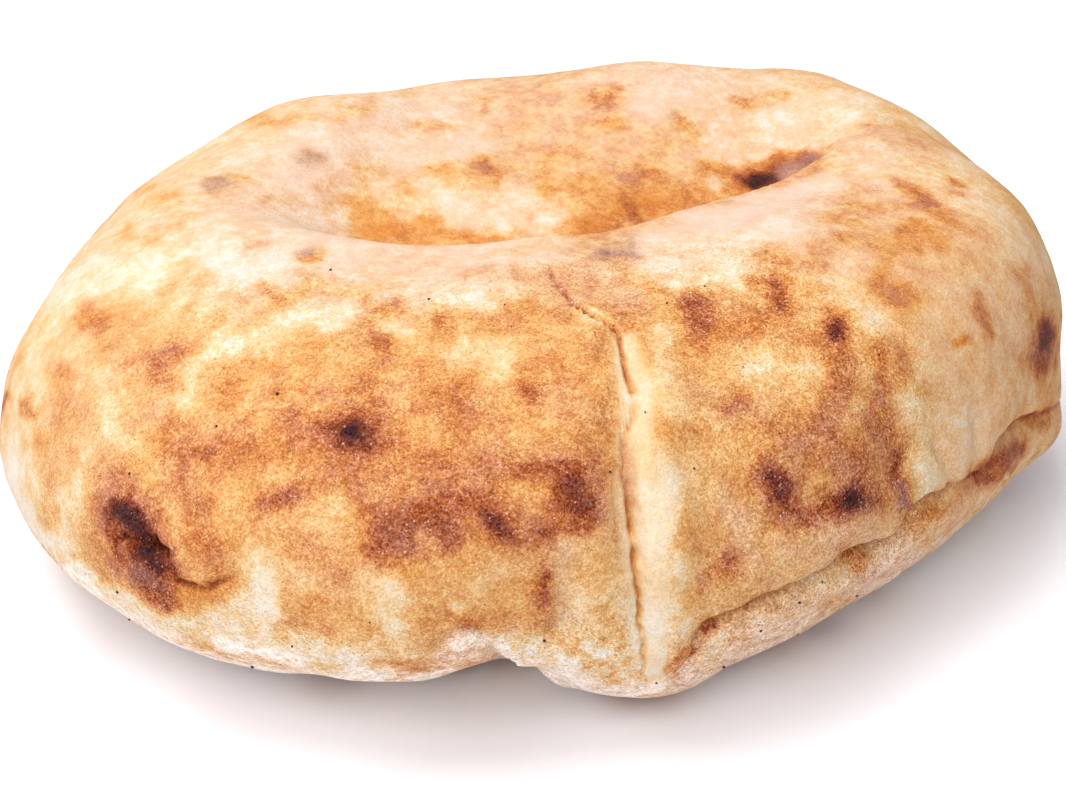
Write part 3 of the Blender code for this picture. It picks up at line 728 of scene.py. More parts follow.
STROKES = [
    ("pink", 40, (300, 250), (400, 255), (500, 255)),
    # the top's right, and the right shoulder
    ("golden", 30, (830, 210), (920, 220), (990, 270)), ("straw", 24, (880, 160), (980, 200), (1030, 260)),
    ("blushed", 8, (860, 130), (900, 138), (930, 146)), ("pink", 8, (955, 155), (985, 175)),
    ("toasted", 14, (830, 214), (870, 212), (905, 232)), ("amber", 13, (900, 242), (915, 262)),
    ("honey", 11, (915, 228), (945, 242)), ("tawny", 9, (902, 187), (925, 195), (948, 212)),
    ("brown", 7, (917, 192), (930, 199)), ("toasted", 8, (948, 212), (975, 232), (990, 250)),
    ("brown", 5, (953, 183), (966, 191)), ("golden", 8, (985, 262), (1000, 285)),
    ("toasted", 7, (1018, 272), (1028, 298), (1038, 318)), ("straw", 14, (840, 270), (850, 300)),
    ("toasted", 12, (808, 250), (822, 266)), ("toasted", 10, (845, 238), (880, 240)),
    ("golden", 14, (900, 258), (960, 275)),
    # the lip and the front of the top
    ("peach", 22, (380, 262), (480, 258), (560, 262)), ("straw", 22, (380, 290), (450, 295), (520, 290)),
    ("cream", 22, (650, 262), (720, 252), (790, 222)), ("cream", 16, (676, 280), (736, 276)),
    ("pink", 12, (640, 245), (700, 225), (760, 205), (830, 180)), ("blushed", 8, (465, 275), (492, 264)),
    ("blushed", 14, (525, 272), (560, 282), (590, 270)), ("blushed", 10, (540, 305), (575, 305)),
    ("blushed", 10, (598, 284), (645, 290)), ("golden", 9, (642, 285), (660, 298)),
    ("haze", 8, (600, 257), (634, 247)), ("ash", 4, (604, 255), (622, 250)),
    ("tawny", 8, (296, 262), (322, 262)), ("haze", 5, (299, 257), (312, 255)),
    ("golden", 9, (300, 278), (320, 280)),
    # the left shoulder
    ("cream", 22, (60, 300), (120, 275), (200, 250), (280, 240)),
    ("cream", 13, (108, 275), (135, 270), (160, 261)), ("flour", 17, (222, 262), (250, 273), (276, 266)),
    ("golden", 8, (160, 292), (178, 282), (190, 268)), ("golden", 8, (180, 318), (196, 296), (210, 275)),
    ("golden", 9, (200, 340), (216, 318), (238, 298)), ("toasted", 8, (262, 285), (278, 292)),
    ("golden", 11, (262, 325), (275, 308)), ("golden", 16, (300, 300), (340, 290), (370, 300)),
    ("cream", 12, (240, 348), (265, 335), (300, 318), (350, 312)),
    ("golden", 24, (110, 320), (165, 325), (195, 335)),
    ("toasted", 16, (110, 345), (140, 362), (165, 375)), ("brown", 12, (84, 322), (92, 310), (102, 322)),
    ("brown", 10, (146, 356), (162, 355), (177, 350)), ("brown", 8, (160, 366), (166, 384)),
    ("cream", 10, (176, 404), (192, 398), (196, 375)), ("cream", 10, (215, 352), (245, 346), (262, 340)),
    ("blushed", 8, (248, 242), (268, 241)),
    # the left edge
    ("straw", 30, (40, 330), (30, 400), (30, 470), (60, 540)),
    ("toasted", 9, (64, 372), (62, 400), (57, 428)),
    ("toasted", 9, (40, 438), (45, 475), (52, 510), (46, 528)), ("brown", 6, (28, 400), (29, 414)),
    ("red", 4, (6, 395), (3, 410), (1, 425)), ("straw", 16, (78, 440), (72, 500), (76, 545)),
    ("straw", 18, (112, 405), (110, 435), (140, 455)), ("golden", 10, (146, 466), (146, 480)),
    ("flour", 10, (8, 465), (20, 510), (45, 545)),
    # the wall left of the split
    ("golden", 26, (225, 385), (330, 350), (420, 360), (480, 390)),
    ("toasted", 16, (230, 370), (218, 392), (222, 412)),
    ("toasted", 16, (280, 398), (320, 388), (350, 385)), ("toasted", 12, (165, 425), (165, 446)),
    ("brown", 24, (190, 450), (250, 452), (320, 440)), ("brown", 12, (188, 470), (192, 500), (205, 530)),
    ("brown", 20, (205, 520), (218, 565)), ("red", 9, (296, 418), (300, 440)),
    ("red", 7, (202, 450), (212, 448)), ("golden", 20, (245, 490), (240, 525), (260, 560)),
    ("toasted", 22, (300, 470), (350, 480), (400, 490)), ("straw", 14, (335, 500), (350, 520)),
    ("plum", 12, (264, 504), (284, 496), (296, 490)), ("tawny", 20, (290, 540), (330, 560), (345, 590)),
    ("golden", 24, (400, 340), (460, 340), (560, 330)),
    ("toasted", 14, (350, 350), (375, 340), (378, 372)), ("brown", 9, (378, 340), (390, 356)),
    ("brown", 12, (365, 375), (372, 395), (385, 400)), ("brown", 8, (388, 311), (397, 304)),
    ("tawny", 9, (362, 330), (372, 328)), ("tawny", 10, (438, 322), (448, 334)),
    ("toasted", 12, (478, 322), (530, 308), (600, 330)),
    ("golden", 28, (560, 345), (590, 370), (580, 410)),
    ("toasted", 14, (545, 350), (575, 372), (600, 345)), ("straw", 16, (475, 346), (505, 352), (490, 370)),
    ("cream", 10, (476, 304), (486, 308)), ("cream", 9, (388, 326), (402, 332)),
    ("cream", 9, (326, 326), (350, 314)), ("cream", 8, (588, 314), (604, 322)),
    ("straw", 12, (424, 420), (446, 430)), ("toasted", 30, (420, 400), (520, 430), (590, 430)),
    ("brown", 16, (456, 388), (470, 410)), ("brown", 12, (522, 380), (534, 394)),
    ("red", 7, (524, 384), (531, 390)), ("golden", 12, (515, 425), (545, 425)),
    ("brown", 22, (430, 470), (520, 470), (590, 465)), ("brown", 36, (345, 440), (380, 440)),
    ("red", 24, (342, 436), (366, 436)), ("dark", 16, (345, 430), (362, 435)),
    ("char", 6, (346, 429), (352, 431)), ("brown", 34, (380, 520), (450, 520), (510, 530)),
    ("red", 9, (512, 472), (545, 470), (578, 466)), ("red", 18, (560, 500), (584, 508), (590, 520)),
    ("dark", 15, (572, 488), (586, 506)), ("red", 11, (535, 536), (560, 528), (592, 522)),
    ("red", 18, (470, 503), (492, 524), (508, 548)), ("dark", 8, (486, 521), (500, 530), (505, 540)),
    ("plum", 17, (378, 532), (410, 525), (440, 508)), ("plum", 13, (375, 545), (405, 547)),
    ("red", 8, (420, 520), (445, 505)), ("plum", 14, (440, 525), (448, 540)),
    ("red", 9, (380, 562), (392, 566)), ("golden", 28, (420, 590), (480, 585), (515, 585)),
    ("toasted", 12, (470, 628), (495, 624), (520, 616)), ("brown", 10, (455, 614), (470, 628)),
    ("straw", 5, (455, 605), (460, 610)), ("toasted", 14, (520, 560), (535, 590)),
    ("brown", 12, (548, 560), (540, 600), (544, 632)), ("plum", 8, (546, 578), (550, 598)),
    ("toasted", 16, (284, 604), (312, 614), (342, 606)), ("brown", 9, (290, 622), (330, 634)),
    # below the blister, and the foot left of the split
    ("toasted", 14, (115, 465), (118, 485)), ("brown", 12, (112, 466), (120, 482)),
    ("toasted", 14, (92, 515), (95, 550), (108, 585)), ("toasted", 12, (185, 604), (215, 592), (242, 584)),
    ("golden", 10, (150, 606), (172, 614)), ("cream", 18, (222, 620), (240, 614), (262, 592), (262, 568)),
    ("straw", 12, (180, 620), (205, 630)), ("flour", 9, (264, 582), (266, 612), (262, 642)),
    ("golden", 16, (360, 590), (350, 630)), ("cream", 18, (390, 590), (386, 640)),
    ("golden", 10, (378, 634), (412, 648), (448, 658)), ("cream", 14, (270, 648), (320, 656), (360, 660)),
    ("dusty", 10, (60, 574), (110, 611), (150, 638), (200, 658), (270, 676), (340, 684)),
    ("dusty", 10, (340, 680), (400, 682), (450, 674)), ("dusty", 7, (225, 640), (262, 650), (300, 662)),
    ("tawny", 8, (420, 668), (440, 664)), ("brown", 4, (398, 668), (404, 674)),
    ("speckled", 12, (448, 662), (470, 656), (496, 656)), ("dusty", 7, (458, 645), (470, 646), (485, 648)),
    ("speckled", 5, (470, 652), (486, 654)), ("shaded", 6, (482, 652), (494, 652)),
    ("dusty", 6, (502, 646), (506, 656), (516, 668), (532, 677)),
    # the split's banks, and the pale skin beside them
    ("shaded", 9, (563, 545), (566, 590), (562, 632)), ("golden", 15, (600, 550), (610, 600), (608, 625)),
    ("straw", 13, (590, 650), (606, 656), (620, 664)), ("golden", 9, (596, 556), (622, 572)),
    ("golden", 12, (516, 640), (540, 646), (560, 648)), ("flour", 10, (526, 664), (548, 668), (578, 674)),
    ("dusty", 9, (520, 670), (560, 684), (640, 692), (700, 678)),
    ("golden", 5, (588, 668), (604, 674), (612, 680)), ("dusty", 8, (604, 690), (640, 692), (672, 684)),
    ("straw", 10, (632, 345), (640, 390), (640, 440)),
    ("cream", 20, (655, 456), (666, 490), (660, 540), (656, 600), (652, 660)),
    ("flour", 7, (646, 480), (650, 540), (652, 600), (650, 640)),
    ("shaded", 8, (624, 440), (629, 470), (634, 505)),
    # the wall right of the split
    ("golden", 34, (700, 360), (760, 350), (830, 360)), ("straw", 16, (664, 330), (662, 380), (668, 400)),
    ("golden", 30, (690, 440), (740, 450), (720, 520)), ("golden", 9, (664, 432), (675, 432)),
    ("toasted", 9, (696, 430), (706, 430)), ("straw", 18, (750, 372), (800, 380), (790, 398)),
    ("toasted", 15, (700, 332), (740, 326), (790, 334), (830, 350)), ("brown", 8, (728, 330), (744, 326)),
    ("toasted", 14, (768, 258), (782, 290), (786, 318)), ("amber", 14, (698, 318), (708, 330)),
    ("amber", 9, (707, 322), (740, 328), (770, 318)), ("plum", 15, (695, 310), (702, 319)),
    ("red", 13, (699, 317), (703, 325)), ("brown", 6, (752, 280), (764, 276)),
    ("amber", 10, (778, 285), (784, 314)), ("plum", 7, (776, 282), (779, 292)),
    ("red", 5, (780, 294), (783, 312)), ("amber", 16, (838, 326), (845, 348), (846, 366)),
    ("red", 11, (838, 326), (840, 332)), ("dark", 6, (838, 327), (840, 332)),
    ("brown", 12, (846, 368), (838, 392), (824, 416)), ("brown", 12, (728, 410), (744, 400)),
    ("brown", 40, (800, 440), (850, 460), (860, 500)), ("amber", 17, (880, 284), (898, 296), (918, 308)),
    ("brown", 12, (886, 289), (907, 301)), ("amber", 11, (880, 350), (886, 378)),
    ("brown", 12, (908, 322), (908, 350), (904, 385)), ("golden", 9, (866, 372), (868, 384)),
    ("red", 17, (780, 500), (800, 518), (850, 520)), ("brown", 8, (874, 404), (880, 442)),
    ("brown", 11, (896, 445), (899, 475)), ("plum", 7, (897, 450), (899, 475)),
    ("brown", 8, (884, 384), (892, 420), (896, 440)), ("red", 17, (772, 478), (786, 492), (782, 508)),
    ("dark", 10, (770, 474), (782, 486), (778, 498)), ("red", 24, (850, 502), (852, 503)),
    ("dark", 16, (850, 503), (852, 504)), ("char", 10, (850, 503), (852, 504)),
    ("tawny", 16, (745, 520), (770, 560)), ("golden", 14, (690, 520), (700, 560)),
    ("toasted", 9, (692, 538), (696, 554)), ("brown", 14, (696, 594), (716, 572), (734, 556)),
    ("straw", 13, (674, 560), (676, 600), (686, 636)), ("golden", 8, (686, 594), (692, 606)),
    ("red", 9, (733, 558), (732, 574)), ("blushed", 17, (720, 500), (745, 530), (760, 560)),
    ("blushed", 17, (790, 548), (840, 540), (880, 525)), ("red", 8, (902, 482), (906, 504)),
    ("soot", 7, (902, 486), (905, 502)),
    # the far right of the wall
    ("golden", 40, (940, 330), (980, 380), (1010, 380)), ("straw", 17, (924, 404), (930, 440), (936, 474)),
    ("straw", 16, (960, 400), (970, 440)), ("peach", 9, (966, 440), (958, 475)),
    ("brown", 8, (974, 300), (980, 320), (986, 336)), ("amber", 6, (957, 344), (962, 340)),
    ("golden", 9, (935, 350), (945, 385), (920, 392)), ("toasted", 12, (1036, 372), (1046, 392)),
    ("red", 11, (1036, 360), (1042, 368)), ("plum", 12, (1046, 324), (1045, 345), (1040, 356)),
    ("dark", 7, (1046, 326), (1045, 342)),
    # the bottom skin
    ("speckled", 24, (665, 684), (720, 664), (780, 636), (840, 604), (900, 566), (940, 536)),
    ("pink", 6, (706, 655), (716, 646), (724, 636)), ("pink", 4, (754, 626), (766, 620)),
    ("tawny", 14, (910, 522), (950, 508), (990, 480)),
    ("blushed", 12, (930, 542), (970, 512), (1000, 482)), ("amber", 6, (668, 668), (682, 656), (696, 646)),
    ("rust", 6, (706, 630), (716, 620)), ("amber", 9, (848, 556), (860, 556), (858, 570)),
    ("blushed", 10, (828, 608), (850, 602)), ("brown", 10, (915, 516), (935, 505)),
    ("plum", 10, (985, 472), (1004, 456), (1018, 446)), ("red", 10, (985, 476), (1005, 468)),
    ("amber", 8, (1032, 420), (1042, 424)), ("tawny", 10, (1046, 410), (1050, 425)),
    ("blushed", 4, (1059, 404), (1057, 425), (1050, 436)),
    # the burst blister
    ("tawny", 11, (98, 505), (100, 545), (118, 575)), ("brown", 9, (104, 562), (114, 576)),
    ("red", 18, (122, 512), (134, 526), (146, 548)), ("dark", 15, (128, 514), (136, 526)),
    ("char", 13, (122, 508), (134, 524)), ("dark", 15, (138, 536), (144, 547), (162, 562)),
    ("char", 11, (136, 532), (143, 548), (162, 562)), ("plum", 18, (142, 576), (158, 594)),
    ("soot", 12, (140, 574), (156, 586)), ("red", 10, (150, 592), (164, 600)),
    ("rust", 8, (114, 536), (126, 541)), ("red", 10, (119, 550), (122, 566)),
    ("char", 8, (147, 549), (154, 558), (166, 564)), ("rust", 9, (171, 570), (178, 584)),
    ("orange", 7, (184, 592), (214, 590), (232, 583)),
    ("cream", 8, (84, 572), (108, 594), (140, 614), (165, 628)),
    ("dusty", 8, (66, 570), (100, 602), (130, 624), (165, 642)),
]
STROKE_RAG = [(8, 5.0), (3.5, 3.5), (1.5, 1.8)]
REACH_RAG = [(2.6, 0.22), (1.2, 0.14)]
UNSEEN_DEPTH = 5
UNSEEN_CELL = 6
CELLS_ACROSS = 1000
FACING_EDGE = (-0.35, 0.3)
UNSEEN_BAKE = 0.24
UNSEEN_CLOUDS = [(26, 0.14), (9, 0.08)]
SEEN_CLOUDS = [(9, 0.03), (4, 0.04)]
UNSEEN_BLUSH = 0.3
FOOT_EDGE = (1.62, -0.2)
FOOT_RAG = 0.12
FOOT_RAG_SIZE = 9
FRESH_SHARE = 0.85
PALE_KINDS = ("cream", "shaded", "dusty")
LIP_HIDES = [(-50, 0), (-38, 1), (52, 1), (66, 0)]
LIP_EDGE = (1.5, 3)
LIP_STRIP = (30, -10)
ON_WALL = (1.8, 0.2)
SUDDEN = 1e-6
SHIFTS = [
    # what is added, and the edges in level, azimuth and bake between which it is added
    ((0, 1.1, 0, 0), [(2.75, 0.25)], [], [(0.3, -0.12)]),
    ((0.03, -0.1, 0, 0), [ON_WALL, (2.95, -0.2)], [(328, -10)], [(0.16, 0.1), (0.5, -0.1)]),
    ((-0.01, 0.2, 0, 0), [ON_WALL], [(190, SUDDEN), (232, -10)], []),
    ((0, 0.6, 0, 0), [ON_WALL], [(318, 10)], [(0.36, -0.1)]),
]
# Painted light: the low wall is baked paler, in place of the light that the table throws up onto it.
LOW_WALL_PAINTED_LIGHT = [(1.5, -0.06), (2.0, -0.04), (2.3, 0)]
LOW_WALL_PAINTED_LIGHT_BAKES = [(0.6, -0.2), (0.06, 0.1)]
SEAM_UNSEEN_SHARE = 0.6


def unit(vectors):
    """Vectors made one long."""
    return vectors / np.maximum(np.linalg.norm(vectors, axis=1)[:, None], 1e-9)


def skin_normals(points):
    """Unit normals of the grid: the cross product of the way round and the way up."""
    grid = points[:rows * columns].reshape(rows, columns, 3)
    round_way = np.roll(grid, -1, 1) - np.roll(grid, 1, 1)
    up_way = np.gradient(grid, axis=0)
    normal = np.cross(round_way, up_way).reshape(-1, 3)
    return unit(np.vstack([normal, [[0, 0, -1], [0, 0, 1]]]))


def photo_place(points):
    """Pixel in the photograph and depth along the view of points in millimetres."""
    turn = np.array(camera.rotation_euler.to_matrix())
    seen = (points - np.array(CAMERA_PLACE) / MM) @ turn
    depth = -seen[:, 2]
    scale = LENS / SENSOR * PHOTO_WIDTH / depth
    x = PHOTO_WIDTH / 2 + seen[:, 0] * scale
    y = PHOTO_HEIGHT / 2 - seen[:, 1] * scale
    return np.stack([x, y], -1), depth


def to_stroke(places, stroke):
    """Distance in pixels from each place to the nearest point of a stroke."""
    stroke = np.array(stroke, float)
    nearest = np.full(len(places), np.inf)
    for start, end in zip(stroke[:-1], stroke[1:]):
        run = end - start
        share = np.clip((places - start) @ run / max(run @ run, 1e-9), 0, 1)
        nearest = np.minimum(nearest, np.linalg.norm(places - start - share[:, None] * run, axis=1))
    return nearest


normals = skin_normals(skin)
place, depth = photo_place(skin)
facing = (normals * unit(np.array(CAMERA_PLACE) / MM - skin)).sum(1)

cell = np.clip(place // UNSEEN_CELL, 0, CELLS_ACROSS - 1).astype(int) @ np.array([1, CELLS_ACROSS])
nearest_depth = np.full(CELLS_ACROSS ** 2, np.inf)
np.minimum.at(nearest_depth, cell, depth)
hidden = ease((depth - nearest_depth[cell]) / UNSEEN_DEPTH - 1)
painted = within(facing, FACING_EDGE) * (1 - hidden)
lip_hides = between(LIP_HIDES, skin[:, 0])
past_lip = within(behind_lip(skin), LIP_EDGE) * lip_hides
painted = np.maximum(painted, past_lip * within(behind_lip(skin), LIP_STRIP))

for n, (size, pixels) in enumerate(STROKE_RAG):
    place = place + pixels * np.stack([cloudy(skin, size, seed=seed + n) for seed in (70, 80)], -1)
ragged_reach = 1 + all_clouds(skin, REACH_RAG, seed=66)
skin_azimuth = np.append(np.tile(azimuths, rows), (0, 0))
skin_level = np.append(np.repeat(levels, columns), (0, 4))
foot = within(skin_level - FOOT_RAG * cloudy(skin, FOOT_RAG_SIZE, seed=64), FOOT_EDGE)
crust = np.zeros((len(skin), 4))
crust[:, 0] = UNSEEN_BAKE + all_clouds(skin, UNSEEN_CLOUDS, seed=90)
crust[:, 1] = UNSEEN_BLUSH


def lay(kind, cover):
    """Brings the crust nearer to a kind, by the share in cover at each point."""
    crust[:] += (np.array(KINDS[kind]) - crust) * cover[:, None]


lay("dusty", foot)
lay("fresh", fresh * FRESH_SHARE)
for strokes, wrong_side in (STROKES_BEHIND_LIP, lip_hides - past_lip), (STROKES, past_lip):
    for kind, half_width, *stroke in strokes:
        cover = hump(to_stroke(place, stroke) * ragged_reach, half_width) * painted * (1 - wrong_side)
        lay(kind, cover * (1 - FRESH_SHARE * fresh * (kind not in PALE_KINDS)))
crust[:, 0] += all_clouds(skin, SEEN_CLOUDS, seed=95)
for added, in_level, in_azimuth, in_bake in SHIFTS:
    share = within(skin_level, *in_level) * within(skin_azimuth, *in_azimuth) * within(crust[:, 0], *in_bake)
    crust += np.outer(share, added)
# Painted light: the low wall made paler, as if lit from the table below.
crust[:, 0] += between(LOW_WALL_PAINTED_LIGHT, skin_level) * within(crust[:, 0], *LOW_WALL_PAINTED_LIGHT_BAKES)
# The grooves of the seam, the crack and the tears darken: partly browned crust, partly painted shade.
lay("seam", stain_and_shade * (SEAM_UNSEEN_SHARE + (1 - SEAM_UNSEEN_SHARE) * painted))

# The unseen side and the underside
# The back of the wall and the top has the same chance spots. The underside lay on the oven's floor:
# it is floury, with small brown spots where it touched the hot stone.
SPOT_COUNT = 60
SPOT_SIZES = (3, 9)
SPOT_KINDS = ("cream", "toasted", "brown", "brown", "red", "dark")
UNDERSIDE_SPOTS = 90
UNDERSIDE_SIZES = (1.5, 5)
UNDERSIDE_KINDS = ("golden", "toasted", "brown", "red")
SPOT_EDGE = (2.95, -0.2)
SPOT_SHARE = 0.9
SPOT_REACH = 1.5
SPOT_RAG = 1.6
SPOT_RAG_SIZE = 4


def ragged_spots(count, sizes, kinds, allowed, seed):
    """Chance spots at random places of the skin: each covers what lies within its ragged radius."""
    draw = np.random.default_rng(seed)
    centres = skin[draw.choice(np.flatnonzero(allowed > SPOT_SHARE), count)]
    warped = skin + SPOT_RAG * three_clouds(skin, SPOT_RAG_SIZE, seed)
    for centre in centres:
        reach = np.linalg.norm(warped - centre, axis=1) / draw.uniform(*sizes)
        lay(kinds[draw.integers(len(kinds))], ease(SPOT_REACH - reach) * allowed * SPOT_SHARE)


unseen_wall = (1 - painted) * (1 - foot) * within(skin_level, SPOT_EDGE)
ragged_spots(SPOT_COUNT, SPOT_SIZES, SPOT_KINDS, unseen_wall, seed=5)
ragged_spots(UNDERSIDE_SPOTS, UNDERSIDE_SIZES, UNDERSIDE_KINDS, foot * (1 - painted), seed=6)

# The grain of the skin
# Semolina and burnt flour stick to the front wall and the bottom, so they are sandy, most where the
# crust is dark. The top and the far right are smoother, and so is pale skin.
GRAIN_ON_WALL = [(205, 0.4), (222, 1), (284, 1), (292, 1.2), (318, 1.2), (328, 0.45)]
GRAIN_BY_LEVEL = [(1.0, 1.6), (1.9, 1.4), (2.0, 1), (2.95, 1), (3.15, 0.3)]
GRAIN_BY_BAKE = [(0.02, 0.6), (0.15, 0.85), (0.3, 1.0), (0.6, 1.45), (0.8, 1.1), (0.95, 0.6)]
GRAIN_ON_FRESH = 0.4
MOTTLE_BY_BAKE = [(0, 0.45), (0.08, 0.8), (0.2, 1.15), (0.5, 1.1), (0.8, 0.5)]
MOTTLE_BY_LEVEL = [(1.6, 2.6), (1.9, 1.1), (2.7, 1), (3.05, 1.7), (3.4, 1.4)]

smooth = 1 - (1 - GRAIN_ON_FRESH) * fresh
grain = between(GRAIN_ON_WALL, skin_azimuth) * between(GRAIN_BY_LEVEL, skin_level)
grain = grain * between(GRAIN_BY_BAKE, crust[:, 0]) * smooth
mottle = between(MOTTLE_BY_BAKE, crust[:, 0]) * between(MOTTLE_BY_LEVEL, skin_level) * smooth

attributes = dict(zip(("bake", "blush", "ash", "flour"), crust.T), grain=grain, mottle=mottle)
for name, values in attributes.items():
    attribute = bread_mesh.attributes.new(name, "FLOAT", "POINT")
    attribute.data.foreach_set("value", values.astype(np.float32))

# The baked crust
# Flour and dough, browned by heat: cream where it is pale, golden to red-brown where it is baked,
# black where it is burnt, with a sandy grain, pale painted glints of light, and a matt surface.
CRUST_STEPS = [
    (0.00, (253, 242, 224)), (0.05, (251, 231, 202)), (0.11, (249, 216, 168)), (0.18, (245, 199, 140)),
    (0.25, (240, 184, 119)), (0.32, (232, 170, 105)), (0.39, (222, 151, 90)), (0.46, (207, 130, 77)),
    (0.53, (191, 111, 70)), (0.60, (173, 92, 55)), (0.67, (153, 76, 42)), (0.75, (130, 58, 30)),
    (0.83, (104, 40, 22)), (0.92, (72, 21, 13)), (1.00, (40, 9, 8)),
]
PINK_DUST = (245, 212, 196)
DEEP_ORANGE = (232, 148, 62)
ASH_GREY = (150, 130, 134)
# Pale dots on the baked crust: painted glints of light on its grains.
PAINTED_GLINT = (250, 222, 204)
# Flour, brighter than white: real flour, and painted light that lifts the shaded foot and lobe.
FLOUR_WITH_PAINTED_LIGHT = (286, 270, 260)
PIT = (92, 58, 40)
DISPLAY_GAMMA = 2.2
LIGHT_LEVEL = 1.42
# noises: size in mm, detail and roughness
BLOTCHES = (9, 2)
MOTTLING = (4, 3)
TINTS = (6.5, 3)
FLOUR_CLOUDS = (2.2, 4)
CRUMBS = (1.6, 2)
SAND = (0.6, 3, 0.8)
# what the noises do to the bake: the edge and the height of patches, or a factor and what is added
MOTTLING_BAKE = (0.45, 0.076)
CRUMBS_BAKE = (0.4, 0.05)
BLOTCHES_BAKE = 0.03
SAND_BAKE = (0.20, 0.03)
# what goes over the colour: how much of it, and between which values
TINTS_BLUSH = 0.38
DUST_SHARE = 0.30
OIL_SHARE = -0.7
BURNT = (0.85, 0.5)
SAND_ASH = (0.25, 0.75)
CLOUDS_FLOUR = (1.2, 0.7)
SPECKLES = [(0.27, 0.14), (0.48, 0.07)]
SAND_SPECKLE = 0.02
# the painted glints: the bakes they show on, the cells that get them, and how strongly
PAINTED_GLINT_BAKES = (0.2, 0.5)
PAINTED_GLINT_CELLS = (0.483, 0.49)
PAINTED_GLINT_SHARE = 0.4
PIT_CELLS = (-0.486, -0.492)
PIT_SHARE = 0.45
# the surface
GLOSS_BAKES = (0.3, 0.9)
GLOSS_ROUGHNESS = (-0.22, 0.86)
CRUST_SPECULAR = 0.04
BUMP_STRENGTH = 0.6
BUMP_HEIGHT = 0.1
CRUMBS_BUMP = 0.8


def paint(colour):
    """Colour in 0 to 255 as it looks in the bright light here, as the linear values of a shader.

    The display's curve is straight near black and a power above it.
    """
    shown = np.array(colour) / 255
    linear = np.where(shown <= 0.04045, shown / 12.92, ((shown + 0.055) / 1.055) ** 2.4)
    return (*(linear / LIGHT_LEVEL).tolist(), 1)


def feed(tree, sockets, given):
    """Links each given socket, or sets each given value, on a node's sockets in order."""
    for socket, value in zip(sockets, given):
        if isinstance(value, bpy.types.NodeSocket):
            tree.links.new(value, socket)
        else:
            socket.default_value = value


def value_of(tree, operation, *given):
    """Math node on sockets or numbers; gives its output."""
    node = tree.nodes.new("ShaderNodeMath")
    node.operation = operation
    feed(tree, node.inputs, given)
    return node.outputs[0]


def product(tree, first, *others):
    """Product of sockets and numbers."""
    for other in others:
        first = value_of(tree, "MULTIPLY", first, other)
    return first


def sum_of(tree, first, *others):
    """Sum of sockets and numbers."""
    for other in others:
        first = value_of(tree, "ADD", first, other)
    return first


def grain_group():
    """Node group that both materials use: noise in lumps, less its middle, from -1 to 1 or so."""
    group = bpy.data.node_groups.new("grain", "ShaderNodeTree")
    group.interface.new_socket("Vector", in_out="INPUT", socket_type="NodeSocketVector")
    for name in ("Scale", "Detail", "Roughness"):
        group.interface.new_socket(name, in_out="INPUT", socket_type="NodeSocketFloat")
    group.interface.new_socket("Grain", in_out="OUTPUT", socket_type="NodeSocketFloat")
    given = group.nodes.new("NodeGroupInput").outputs
    noise = group.nodes.new("ShaderNodeTexNoise")
    for name in ("Vector", "Scale", "Detail", "Roughness"):
        group.links.new(given[name], noise.inputs[name])
    grain = product(group, value_of(group, "SUBTRACT", noise.outputs["Fac"], 0.5), 4)
    group.links.new(grain, group.nodes.new("NodeGroupOutput").inputs["Grain"])
    return group


grain_nodes = grain_group()


def grain_of(tree, place, size_mm, detail, roughness=0.6):
    """The grain group on a material, with lumps about size_mm across."""
    node = tree.nodes.new("ShaderNodeGroup")
    node.node_tree = grain_nodes
    feed(tree, node.inputs, (place, 1 / (size_mm * MM), detail, roughness))
    return node.outputs["Grain"]


def cells_of(tree, place, size_mm):
    """Random values from -0.5 to 0.5, one for each cell about size_mm across, and a second such set."""
    node = tree.nodes.new("ShaderNodeTexVoronoi")
    node.inputs["Scale"].default_value = 1 / (size_mm * MM)
    tree.links.new(place, node.inputs["Vector"])
    parts = tree.nodes.new("ShaderNodeSeparateColor")
    tree.links.new(node.outputs["Color"], parts.inputs[0])
    return [value_of(tree, "SUBTRACT", parts.outputs[k], 0.5) for k in (0, 1)]


def gamma_of(tree, colour, power):
    """Colour to a power."""
    node = tree.nodes.new("ShaderNodeGamma")
    node.inputs["Gamma"].default_value = power
    tree.links.new(colour, node.inputs["Color"])
    return node.outputs["Color"]


def mixed(tree, share, first, second, blend="MIX"):
    """Second colour mixed into the first by a share, or added to it."""
    node = tree.nodes.new("ShaderNodeMix")
    node.data_type = "RGBA"
    node.blend_type = blend
    colours = [socket for socket in node.inputs if socket.type == "RGBA"]
    feed(tree, [node.inputs[0], *colours], (share, first, second))
    return node.outputs[2]


def smooth_step(tree, value, low, high):
    """Map Range node: 0 below low, 1 above high, eased between."""
    node = tree.nodes.new("ShaderNodeMapRange")
    node.interpolation_type = "SMOOTHSTEP"
    node.inputs["From Min"].default_value = low
    node.inputs["From Max"].default_value = high
    tree.links.new(value, node.inputs["Value"])
    return node.outputs["Result"]


def patches_of(tree, noise, edge, height):
    """Patches of a noise with soft edges, from minus to plus half the height."""
    return value_of(tree, "MULTIPLY_ADD", smooth_step(tree, noise, -edge, edge), height, -height / 2)


def new_material(name, specular=0.5):
    """Material with a plain shader; gives it, its node tree and the shader."""
    material = bpy.data.materials.new(name)
    material.use_nodes = True
    shader = material.node_tree.nodes["Principled BSDF"]
    shader.inputs["Specular IOR Level"].default_value = specular
    return material, material.node_tree, shader


